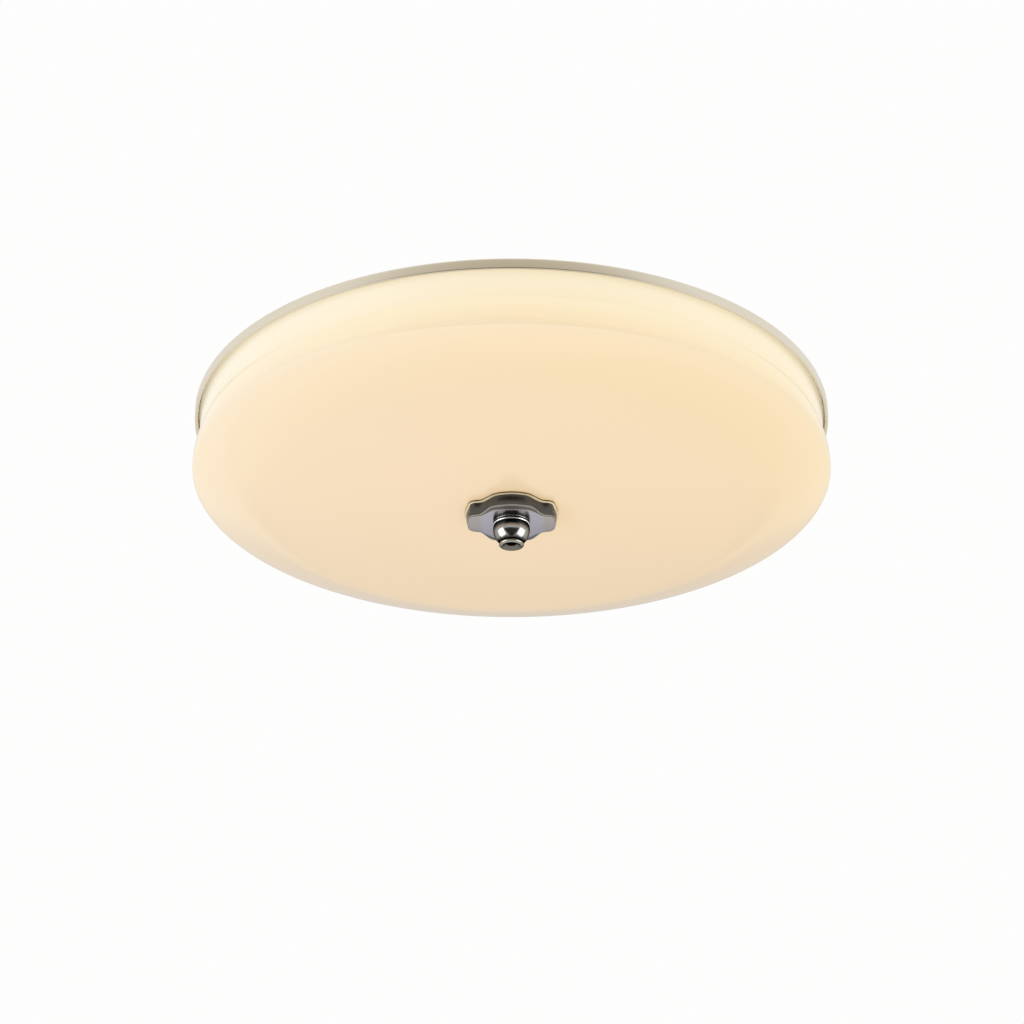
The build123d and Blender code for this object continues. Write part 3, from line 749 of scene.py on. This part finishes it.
# ======== earth point ========
# Crimped ring tongue of the earth wire under an M4 brass screw in the tray.
brass.on(frame["nodes"]["earth_tongue"])
screwed_in(
    "earth_screw", EARTH_PLACES, "brass_plated", brass,
    shank_r=2.0, head_r=3.6, head_h=2.2, length=5.5, face=-11.8,
)


# ======== leads ========
# PVC insulated wires, 2 mm across: live and neutral from the terminal block to the driver, earth to
# its tongue, and the LED ring's two from the driver. Each keeps the bend it was laid with.
def lead(name, slot, colour, fleck, length, *route):
    """Wire along its route's points, in metres, with both ends inside what holds them."""
    line = bpy.data.curves.new(name, "CURVE")
    line.dimensions = "3D"
    line.bevel_depth = MM
    line.bevel_resolution = 5
    line.resolution_u = 16
    line.use_fill_caps = True
    run = line.splines.new("NURBS")
    run.points.add(len(route) - 1)
    for point, place in zip(run.points, route):
        point.co = (*place, 1)
    run.order_u = 3
    run.use_endpoint_u = True
    wire = bpy.data.objects.new(name + "_piece", line)
    bpy.context.scene.collection.objects.link(wire)
    skin = Finish(name + "_pvc", colour, 0.35)
    print_off = skin.cloud(500)
    skin.vary("Base Color", skin.mix(print_off, colour, fleck))
    skin.vary("Roughness", 0.3 + print_off * 0.12)
    skin.bump(skin.cloud(1800, 2.0), 0.06, 0.0001)
    skin.on(wire)
    fitted(wire, "fixture", name)


lead(
    "live_lead", "lead_black", (0.025, 0.025, 0.026), (0.045, 0.045, 0.045), 0.178,
    (-0.042, 0.032, -0.0189), (-0.064, 0.032, -0.0189), (-0.070, -0.004, -0.015),
    (-0.060, -0.048, -0.0154), (-0.032, -0.080, -0.0174), (-0.011, -0.080, -0.0185),
    (-0.011, -0.060, -0.0185),
)
lead(
    "neutral_lead", "lead_white", (0.86, 0.86, 0.84), (0.80, 0.80, 0.77), 0.187,
    (-0.042, 0.032, -0.0211), (-0.062, 0.032, -0.0211), (-0.066, -0.002, -0.018),
    (-0.055, -0.044, -0.0184), (-0.033, -0.082, -0.0204), (0, -0.084, -0.0185),
    (0, -0.060, -0.0185),
)
lead(
    "earth_lead", "lead_green", (0.07, 0.40, 0.13), (0.10, 0.46, 0.16), 0.061,
    (0.011, -0.060, -0.0185), (0.011, -0.080, -0.0185), (0.034, -0.080, -0.014),
    (0.034, -0.0545, -0.0126),
)
lead(
    "led_positive_lead", "lead_red", (0.60, 0.035, 0.025), (0.66, 0.06, 0.04), 0.069,
    (0.042, 0.032, -0.0189), (0.064, 0.032, -0.0189), (0.074, 0.0016, -0.0151),
    (0.0935, 0.0016, -0.0151),
)
lead(
    "led_negative_lead", "lead_black", (0.025, 0.025, 0.026), (0.045, 0.045, 0.045), 0.072,
    (0.042, 0.032, -0.0211), (0.060, 0.032, -0.0211), (0.070, -0.0016, -0.0151),
    (0.0935, -0.0016, -0.0151),
)


# ======== opal glass shade ========
# One piece of blown opal glass, 4 mm thick: a straight neck up inside the pan's rim, a soft crease,
# a flare to the widest line, and a gently crowned bottom with a ground seat round the centre hole.
# Lit from inside by the LED ring, it glows; the glow is also painted with light and shade,
# brightest and whitest at the neck and darker in a painted shade line just under the widest line.
GLASS_WALL = 4.0
LIP_BEND = 1.3             # rounding of the rim, inside and out
NECK = (196.4, 19.4)       # radius and depth below the ceiling, as in the other points of the skin
CREASE = (196.05, 21.9)
FLARE = (196.5, 24.6)
RIDGE = (199.5, 40.5)
SHOULDER = (197.8, 43.0)
SLOPE = (168.0, 53.6)
KNEE = (150.0, 57.0)
SEAT_EDGE = (32, 60.5)
SEAT = -60.5               # height of the ground seat round the centre hole
HOLE_R = 8.4


class Skin:
    """Half section of a shell: straight runs, and arcs that go on in the last direction."""

    def __init__(self, radius, height, heading=(0, -1)):
        self.points = [Vector((radius, height))]
        self.heading = Vector(heading)

    def run(self, radius, height, parts):
        start = self.points[-1]
        end = Vector((radius, height))
        self.heading = (end - start).normalized()
        self.points += [start.lerp(end, part / parts) for part in range(1, parts + 1)]

    def arc(self, radius, height, parts, heading=None):
        start = self.points[-1]
        if heading:
            self.heading = Vector(heading).normalized()
        ahead = self.heading
        across = Vector((-ahead.y, ahead.x))
        chord = Vector((radius, height)) - start
        sideways = chord.dot(across)
        turn = 2 * atan2(sideways, chord.dot(ahead))
        bend = chord.length_squared / (2 * sideways)
        for part in range(1, parts + 1):
            angle = turn * part / parts
            self.points.append(start + ahead * bend * sin(angle) + across * bend * (1 - cos(angle)))
        self.heading = Matrix.Rotation(turn, 2) @ ahead

    def back_from(self, other):
        """Goes on along a stretch that was drawn the other way."""
        self.points += other.points[-2::-1]


def shade_skin(inset):
    """The shade's skin from the neck to the seat, drawn inwards by inset."""
    def at(place):
        radius, depth = place
        return (radius - inset, inset - depth)

    half = Skin(NECK[0] - inset, GLASS_TOP - LIP_BEND)
    half.run(*at(NECK), parts=4)
    half.arc(*at(CREASE), parts=5, heading=(0, -1))
    half.arc(*at(FLARE), parts=6, heading=(-0.02, -1))
    flare = Skin(*at(RIDGE), heading=(0, 1))
    flare.arc(*at(FLARE), parts=12)
    half.back_from(flare)
    half.arc(*at(SHOULDER), parts=8, heading=(0, -1))
    half.arc(*at(SLOPE), parts=18)
    half.arc(*at(KNEE), parts=10)
    crown = Skin(*at(SEAT_EDGE), heading=(1, 0))
    crown.arc(*at(KNEE), parts=14)
    half.back_from(crown)
    return [tuple(point) for point in half.points]


def lip(radius, inwards, turns):
    """Rounding of the rim at the outer or inner skin."""
    bends = [(1 - cos(radians(turn)), 1 - sin(radians(turn))) for turn in turns]
    return [
        (radius + inwards * LIP_BEND * out, GLASS_TOP - LIP_BEND * down) for out, down in bends
    ]


rim = [*lip(NECK[0] - GLASS_WALL, 1, (30, 60, 90)), *lip(NECK[0], -1, (90, 60, 30))]
hole_edge = [(8.8, SEAT), (HOLE_R, SEAT + 0.4), (HOLE_R, SEAT + 3.6), (8.8, SEAT + GLASS_WALL)]
glass_section = [*shade_skin(0), *hole_edge, *reversed(shade_skin(GLASS_WALL)), *rim]
glass_shade = lathe("glass_shade_piece", glass_section, steps=288, sharp=50)

opal = Finish(
    "opal_glass", (0.31, 0.29, 0.26), 0.3, Specular_IOR_Level=0.0, Coat_Weight=1.0, Coat_IOR=1.62,
    Coat_Roughness=0.22, Emission_Strength=1.0,
)
x, y, height = opal.split(opal.place())
GLOW_SPAN = 0.25           # metres of skin that the colours are spread over
# Painted light and shade in the glow: whiter at the neck, and a darker dip at 41 mm along the skin,
# the widest line, painted as shade.
GLOW_AND_SHADE = (                   # metres along the skin from the rim, and the colour there
    (0.0066, (0.745, 0.66, 0.46)), (0.0240, (0.735, 0.62, 0.395)), (0.0330, (0.725, 0.58, 0.32)),
    (0.0380, (0.72, 0.565, 0.31)), (0.0410, (0.695, 0.53, 0.29)), (0.0440, (0.715, 0.555, 0.31)),
    (0.0540, (0.735, 0.54, 0.275)), (0.0700, (0.715, 0.515, 0.245)), (0.0900, (0.70, 0.495, 0.225)),
    (0.1070, (0.70, 0.49, 0.235)), (0.2200, (0.70, 0.485, 0.235)),
)
along = PAN_R * MM - (x * x + y * y) ** 0.5 - height
stops = [(way / GLOW_SPAN, colour) for way, colour in GLOW_AND_SHADE]
glow_and_shade = opal.node("ShaderNodeValToRGB", {"stops": stops}, {"Fac": along * (1 / GLOW_SPAN)}, "Color")
opal.vary("Emission Color", glow_and_shade)
opal.vary("Roughness", 0.26 + opal.cloud(60, 2.0) * 0.08)
opal.bump(opal.cloud(25, 2.0), 0.08, 0.0008)
fitted(glass_shade, "shade", "glass_shade", opal)


# ======== bush and washer of the shade ========
# Translucent silicone: a flanged bush pressed into the hole of the glass from above, and a flat
# washer between the glass and the finial plate, so that no metal bears on glass.
BUSH_TOP = -54.5
WASHER_FACE = SEAT - 1

bush = lathe("shade_bush_piece", drawn([
    (ROD_HOLE_R, SEAT, 0.3), (HOLE_R, SEAT, 0.3), (HOLE_R, SEAT + GLASS_WALL, 0),
    (13, SEAT + GLASS_WALL, 0.3), (12.4, BUSH_TOP, 0.7), (ROD_HOLE_R, BUSH_TOP, 0.5),
], fine=20), steps=64)
silicone = Finish("clear_silicone", (0.85, 0.84, 0.8), 0.3, Subsurface_Weight=0.3)
silicone.shader.inputs["Subsurface Radius"].default_value = (0.003, 0.003, 0.0028)
haze = silicone.cloud(350)
silicone.vary("Base Color", silicone.mix(haze, (0.82, 0.81, 0.77), (0.88, 0.87, 0.84)))
silicone.vary("Roughness", 0.26 + haze * 0.12)
fitted(bush, "shade", "shade_bush", silicone)
washer = lathe("shade_washer_piece", drawn([
    (ROD_HOLE_R, SEAT, 0.25), (11, SEAT, 0.25), (11, WASHER_FACE, 0.25),
    (ROD_HOLE_R, WASHER_FACE, 0.25),
], fine=30), steps=64)
fitted(washer, "shade", "shade_washer", silicone)


# ======== finial plate ========
# Hollow zinc casting under the glass, plated in black nickel and buffed: a thin bead round its
# foot, a wall that leans in most at the shoulders, and a flat face for the knob. Each outline is a
# quarter of the plate, from the crown in front to the end at the side: (x, y, bend radius).
PLATE_FOOT = [(0, 32.1, 22), (10.8, 29.1, 12), (18.9, 19.8, 6), (26.1, 18.8, 5.5), (30.0, 0, 30)]
PLATE_FACE = [(0, 26.6, 30), (12.8, 23.7, 8), (19.5, 11.9, 5), (26.9, 10.4, 5), (27.9, 0, 20)]
PLATE_CROWN = [(0, 20.4, 30), (11.6, 18.6, 8), (18.9, 11.2, 5), (26.2, 9.7, 5), (27.2, 0, 20)]
PLATE_HOLLOW = [(0, 26.4, 18), (9.5, 24.0, 8), (15.5, 12.4, 6), (24.0, 11.8, 4), (25.6, 0, 20)]
WAIST = 2                  # corner of the outline that bends the other way, between two lobes
BEND_RUNS = 7


def whole(quarter):
    """The full outline from its quarter, as a loop that starts at the crown."""
    crown, *sides, end = quarter
    back = sides[::-1]
    loop = [(corner, 1, 1) for corner in (crown, *sides, end)]
    loop += [(corner, 1, -1) for corner in (*back, crown)]
    loop += [(corner, -1, -1) for corner in sides]
    loop += [(corner, -1, 1) for corner in (end, *back)]
    return [(x * side, y * way, bend) for (x, y, bend), side, way in loop]


def level(drop, quarter):
    """Loop of points round an outline, this far below the glass's seat."""
    points = drawn(whole(quarter), bend_runs=BEND_RUNS)
    return [(x * MM, y * MM, (SEAT - drop) * MM) for x, y in points]


def wall_level(drop, share, inset):
    """Loop of the wall, whose outline goes over from the foot's to the face's, set in by inset."""
    quarter = []
    for place, (foot, face) in enumerate(zip(PLATE_FOOT, PLATE_FACE)):
        x, y, bend = (low + share * (high - low) for low, high in zip(foot, face))
        bend_change = inset if place == WAIST else -inset
        quarter.append((max(x - inset, 0), max(y - inset, 0), bend + bend_change))
    return level(drop, quarter)


def crown_level(drop, inset):
    """Loop of the raised field round the knob, set in by inset."""
    quarter = [(x - inset * (x > 0), y - inset * (y > 0), bend) for x, y, bend in PLATE_CROWN]
    return level(drop, quarter)


def skinned(name, loops):
    """Closed skin over a stack of loops, with its first and last loop filled."""
    obj = line_start(name, loops[0][0])
    count = len(loops[0])
    for place, loop in enumerate(loops):
        if place:
            bpy.ops.mesh.select_all(action="DESELECT")
            bpy.ops.mesh.primitive_plane_add(size=MM)
            bpy.ops.mesh.merge(type="CENTER")
            bpy.ops.transform.translate(value=loop[0])
        draw_on(loop)
        bpy.ops.mesh.select_linked()
        skin = bmesh.from_edit_mesh(obj.data)
        skin.verts.ensure_lookup_table()
        first, last = skin.verts[place * count], skin.verts[place * count + count - 1]
        bpy.ops.mesh.select_all(action="DESELECT")
        first.select = last.select = True
        bpy.ops.mesh.edge_face_add()
    for place in range(len(loops) - 1):
        pick_range(obj, place * count, (place + 2) * count)
        bpy.ops.mesh.bridge_edge_loops()
    for place in (0, len(loops) - 1):
        pick_range(obj, place * count, (place + 1) * count)
        bpy.ops.mesh.edge_face_add()
    return finished(obj, 30)


def pick_range(obj, start, end):
    """Selects the vertices with these numbers, and the edges between neighbours of one loop."""
    bpy.ops.mesh.select_mode(type="VERT")
    bpy.ops.mesh.select_all(action="DESELECT")
    skin = bmesh.from_edit_mesh(obj.data)
    skin.verts.ensure_lookup_table()
    for vertex in skin.verts[start:end]:
        vertex.select = True
    skin.select_flush_mode()
    bmesh.update_edit_mesh(obj.data)


WALL_LEVELS = [            # drop, share of the way from foot to face, inset
    (0.3, 0, 0.35), (0.4, 0, 0.12), (0.6, 0, 0), (1.05, 0, 0), (1.3, 0, 0.13), (1.42, 0, 0.4),
    (1.5, 0, 0.85), (1.7, 0, 1.1), (2.6, 0.04, 1.05), (3.6, 0.14, 0.95), (4.6, 0.28, 0.8),
    (5.5, 0.47, 0.6), (6.2, 0.68, 0.4), (6.7, 0.87, 0.2), (6.9, 0.96, 0.05), (7.0, 1, 0.12),
    (7.05, 1, 0.45),
]
casting_levels = [level(4.6, PLATE_HOLLOW), level(0.5, PLATE_HOLLOW)]
casting_levels += [wall_level(*measures) for measures in WALL_LEVELS]
casting_levels += [crown_level(7.4, 0), crown_level(7.48, 0.3), crown_level(7.5, 0.7)]
finial_plate = skinned("finial_plate_piece", casting_levels)
boss = [(3, WASHER_FACE), (3, -66), (11, -66), (11, -65), (10.2, WASHER_FACE)]
cut(finial_plate, [lathe("boss", boss, steps=64)], "UNION")
cut(finial_plate, [drill(ROD_HOLE_R, 0, 0, -55, -75, 64)])
finished(finial_plate, 30)

plate_nickel = Finish("black_nickel_plate", (0.33, 0.32, 0.35), 0.16, Metallic=1.0)
x, y, height = plate_nickel.split(plate_nickel.place())
off_middle = (x * x) ** 0.5
wear = plate_nickel.cloud(160, 4.0)
buffed = plate_nickel.cloud(900, 2.0)
# Light and shade painted on the plate in bands by height below the glass.
LIGHT_AND_SHADE_BANDS = [                  # height in metres from which each tone starts
    (-0.0617, (0.75, 0.60, 0.36), (0.98, 0.86, 0.62)),            # painted reflection of the glowing glass on the bead
    (-0.06215, (0.085, 0.078, 0.066), (0.115, 0.105, 0.09)),      # painted shade on the wall
    (-0.06735, (0.34, 0.31, 0.28), (0.42, 0.38, 0.34)),           # painted highlight on the edge of the shoulder
    (-0.06758, (0.12, 0.11, 0.095), (0.17, 0.155, 0.135)),        # painted shade in the groove
    (-0.06786, (0.42, 0.41, 0.42), (0.50, 0.49, 0.50)),           # painted highlight on the edge of the face
]
BAND_EDGE = 0.00005
# painted shadow: dark brown where the foot meets the glass, above the bead
tone = plate_nickel.mix(wear, (0.05, 0.032, 0.012), (0.10, 0.07, 0.03))
for band_top, low, high in LIGHT_AND_SHADE_BANDS:
    below = plate_nickel.step(height, band_top + BAND_EDGE, band_top - BAND_EDGE)
    tone = plate_nickel.mix(below, tone, plate_nickel.mix(wear, low, high))
# painted reflection of the glowing glass: the face's lobes at the sides are browner than its
# lavender grey middle
middle_tone = plate_nickel.mix(wear, (0.41, 0.38, 0.42), (0.47, 0.435, 0.47))
lobe_painted_reflection = plate_nickel.mix(wear, (0.38, 0.335, 0.31), (0.46, 0.41, 0.37))
face_tone = plate_nickel.mix(plate_nickel.step(off_middle, 0.017, 0.022), middle_tone, lobe_painted_reflection)
face_share = plate_nickel.step(height, -0.06796, -0.06799)
plate_nickel.vary("Base Color", plate_nickel.mix(face_share, tone, face_tone))
plate_nickel.vary("Roughness", 0.34 + buffed * 0.08 - face_share * 0.18)
plate_nickel.bump(buffed, 0.05, 0.0002)
fitted(finial_plate, "shade", "finial_plate", plate_nickel)


# ======== finial knob ========
# Turned brass knob, bored and tapped for the rod and plated in black nickel: a collar that bears
# on the plate, a ball for the fingers, a neck, and a nub with a dished end. Its colour paints the
# shade: near black in the groove, on the top of the ball and on the neck, darker in the dish with a
# painted black hole in its middle, and a painted highlight round the collar. The ball and the nub
# are buffed bright. Drops count down from the seat of the glass.
PLATE_DROP = 7.5           # face of the plate
BALL_R = 11.5
BALL_DROP = 11.5           # middle of the ball
BALL_START = 9.25
BALL_END = 19.8
NUB_R = 6.95               # radius of the middle of its rounding
NUB_DROP = 21.65
NUB_BEND = 0.85
DISH_R = 5.9
DISH_DEPTH = 2.2
KNOB_DROP = 22.8

knob_outline = [           # the bore's edge and the collar, then the groove above the ball
    (ROD_TAP_R, PLATE_DROP), (10.9, PLATE_DROP), (11.25, 7.62), (11.5, 7.9), (11.55, 8.2),
    (11.45, 8.5), (11.2, 8.7), (10.85, 8.8), (10.8, 8.95), (10.95, 9.1),
]
for part in range(19):
    drop = BALL_START + (BALL_END - BALL_START) * part / 18
    knob_outline.append(((BALL_R ** 2 - (drop - BALL_DROP) ** 2) ** 0.5, drop))
knob_outline += [(7.2, 20.25), (6.85, 20.4), (6.75, 20.55), (6.85, 20.7), (7.3, 20.8)]
for turn in range(50, 181, 13):
    bend = (NUB_BEND * sin(radians(turn)), NUB_BEND * cos(radians(turn)))
    knob_outline.append((NUB_R + bend[0], NUB_DROP - bend[1]))
knob_outline += [(6.4, 22.66), (6.1, KNOB_DROP)]
bowl_r = (DISH_R ** 2 + DISH_DEPTH ** 2) / (2 * DISH_DEPTH)
for part in range(10, -1, -1):
    out = DISH_R * part / 10
    knob_outline.append((out, KNOB_DROP - DISH_DEPTH + bowl_r - (bowl_r ** 2 - out ** 2) ** 0.5))
knob_outline += [(0, 18), (4.6, 18), (ROD_TAP_R, 17.4)]
knob_outline = [(radius, SEAT - drop) for radius, drop in knob_outline]
finial_knob = lathe("finial_knob_piece", knob_outline, sharp=40)

knob_nickel = Finish(
    "black_nickel_knob", (0.32, 0.31, 0.30), 0.12, Metallic=1.0,
    Specular_Tint=(0.15, 0.13, 0.11, 1),
)
x, y, height = knob_nickel.split(knob_nickel.place())
drop = SEAT * MM - height
out = (x * x + y * y) ** 0.5
polish = knob_nickel.cloud(500)
# painted shade: near black on the groove above the ball, the top of the ball and the neck
painted_shade_tone = (0.02, 0.019, 0.017)
ball_tone = knob_nickel.mix(polish, (0.30, 0.295, 0.28), (0.36, 0.35, 0.33))
ball_share = knob_nickel.step(drop, 0.0098, 0.0138) * knob_nickel.step(drop, 0.0202, 0.0178)
tone = knob_nickel.mix(ball_share, painted_shade_tone, ball_tone)
# painted highlight: a near-white ring round the collar
collar_painted_highlight = knob_nickel.mix(polish, (0.88, 0.87, 0.83), (0.95, 0.94, 0.90))
collar_highlight_share = knob_nickel.step(drop, 0.0080, 0.0082) * knob_nickel.step(drop, 0.0088, 0.0086)
tone = knob_nickel.mix(collar_highlight_share, tone, collar_painted_highlight)
nub_share = knob_nickel.step(drop, 0.0207, 0.0211)
# painted shade: the dish darker than the nub, and a painted black hole in its middle, where the knob
# is solid
dish_shade_share = knob_nickel.step(out, 0.0061, 0.0057) * knob_nickel.step(drop, 0.0190, 0.0200)
painted_hole_share = knob_nickel.step(out, 0.0036, 0.0026)
nub_tone = knob_nickel.mix(polish, (0.30, 0.29, 0.26), (0.38, 0.37, 0.33))
dish_painted_shade = knob_nickel.mix(painted_hole_share, (0.17, 0.155, 0.13), (0.008, 0.008, 0.007))
tone = knob_nickel.mix(dish_shade_share, knob_nickel.mix(nub_share, tone, nub_tone), dish_painted_shade)
knob_nickel.vary("Base Color", tone)
knob_nickel.vary("Roughness", 0.1 + polish * 0.07)
fitted(finial_knob, "finial", "finial_knob", knob_nickel)


# ======== studio ========
# White room with a pale floor well below, a soft lamp on each side for the knob, a faint cool lamp
# at the left for the glass, and the camera at the photograph's place under the light. Some of the
# room is darker, where only metal and gloss mirror it, as in the studio of the photograph.
WHITE = (0.985, 0.985, 0.98)
FRONT_GREY = (0.55, 0.50, 0.395)  # high up, behind the camera
FAR_GREY = (0.42, 0.48, 0.61)  # low down, at the far end
FLOOR_PAINT = (0.8, 0.8, 0.79)
CURTAIN = (0.03, 0.03, 0.03)  # dark cloth on the floor, on the camera's side
FLOOR_GLOW = 0.265         # brings the floor to white where it is seen
FLOOR_HEIGHT = -2.4
FOCAL_PX = 2352.8
FRAME_PX = 1024
SENSOR = 36
LOOK_UP = 26.66            # degrees

world = bpy.data.worlds.new("white_room")
bpy.context.scene.world = world
world.use_nodes = True
room = Nodes(world.node_tree)


def ray(nodes, kind):
    return nodes.node("ShaderNodeLightPath", {}, {}, f"Is {kind} Ray")


def seen_straight(nodes):
    """1 for what the camera sees, in metal and through glass too, and 0 for light that falls."""
    return ray(nodes, "Camera") + ray(nodes, "Glossy") + ray(nodes, "Transmission")


east, north, up = room.split(room.node("ShaderNodeTexCoord", {}, {}, "Generated"))
mirrored = ray(room, "Glossy")
front = room.step(north, -0.35, -0.95) * (room.step(up, 0.0, 0.2) * mirrored)
back = room.step(north, 0.7, 0.9) * room.step(east * east, 0.3, 0.1)
back = back * room.step(up, -0.2, -0.1) * mirrored
room_white = room.mix(back, room.mix(front, WHITE, FRONT_GREY), FAR_GREY)
background = world.node_tree.nodes["Background"]
world.node_tree.links.new(room_white.socket, background.inputs["Color"])
world.node_tree.links.new((seen_straight(room) * 0.1 + 0.9).socket, background.inputs["Strength"])

work_on()
bpy.ops.mesh.primitive_plane_add(size=30, location=(0, 0, FLOOR_HEIGHT))
floor = bpy.context.object
floor.name = "studio_floor"
floor_white = Finish("pale_floor", FLOOR_PAINT, 0.8, Emission_Strength=1.0)
x, y, height = floor_white.split(floor_white.place())
in_metal = ray(floor_white, "Glossy")
curtain = floor_white.step(y + (x * x) ** 0.5 * 0.8, -0.4, -1.4) * in_metal
far_end = floor_white.step(y, 4.6, 5.6) * floor_white.step(x * x, 9, 3) * in_metal
near_paint = floor_white.mix(curtain, FLOOR_PAINT, CURTAIN)
floor_white.vary("Base Color", floor_white.mix(far_end, near_paint, FAR_GREY))
seen = seen_straight(floor_white) * (1 - curtain) * (1 - far_end)
floor_white.vary("Emission Color", floor_white.mix(seen, (0, 0, 0), (FLOOR_GLOW,) * 3))
floor_white.on(floor)


def lamp(name, place, size, power, piece, colour=(1, 1, 1), **seen_by):
    """Soft lamp turned to the finial, which lights one piece only and doesn't show itself."""
    bpy.ops.object.light_add(type="AREA", location=place)
    light = bpy.context.object
    light.name = name
    light.data.size = size
    light.data.energy = power
    light.data.color = colour
    light.visible_camera = False
    for rays, seen in seen_by.items():
        setattr(light, rays, seen)
    aim = Vector((0, 0, -0.07)) - light.location
    light.rotation_euler = aim.to_track_quat("-Z", "Y").to_euler()
    light.light_linking.receiver_collection = bpy.data.collections.new(name + "_lights")
    light.light_linking.receiver_collection.objects.link(piece)


lamp("softbox_1", (-1.9, -0.52, -0.87), 1.7, 26, finial_knob, visible_diffuse=False)
lamp("softbox_3", (1.9, -0.52, -0.87), 1.7, 26, finial_knob, visible_diffuse=False)
lamp("cool_fill", (-0.8, -0.3, -0.5), 0.3, 3.2, glass_shade, (0.2, 0.45, 1.0), visible_glossy=False)

camera = bpy.data.objects.new("camera", bpy.data.cameras.new("camera"))
bpy.context.scene.collection.objects.link(camera)
camera.location = (0.0003, -1.31584, -0.72011)
camera.rotation_euler = (radians(90 + LOOK_UP), 0, 0)
camera.data.lens = FOCAL_PX / FRAME_PX * SENSOR
camera.data.sensor_width = SENSOR
bpy.context.scene.camera = camera
bpy.context.scene.view_settings.view_transform = "Standard"
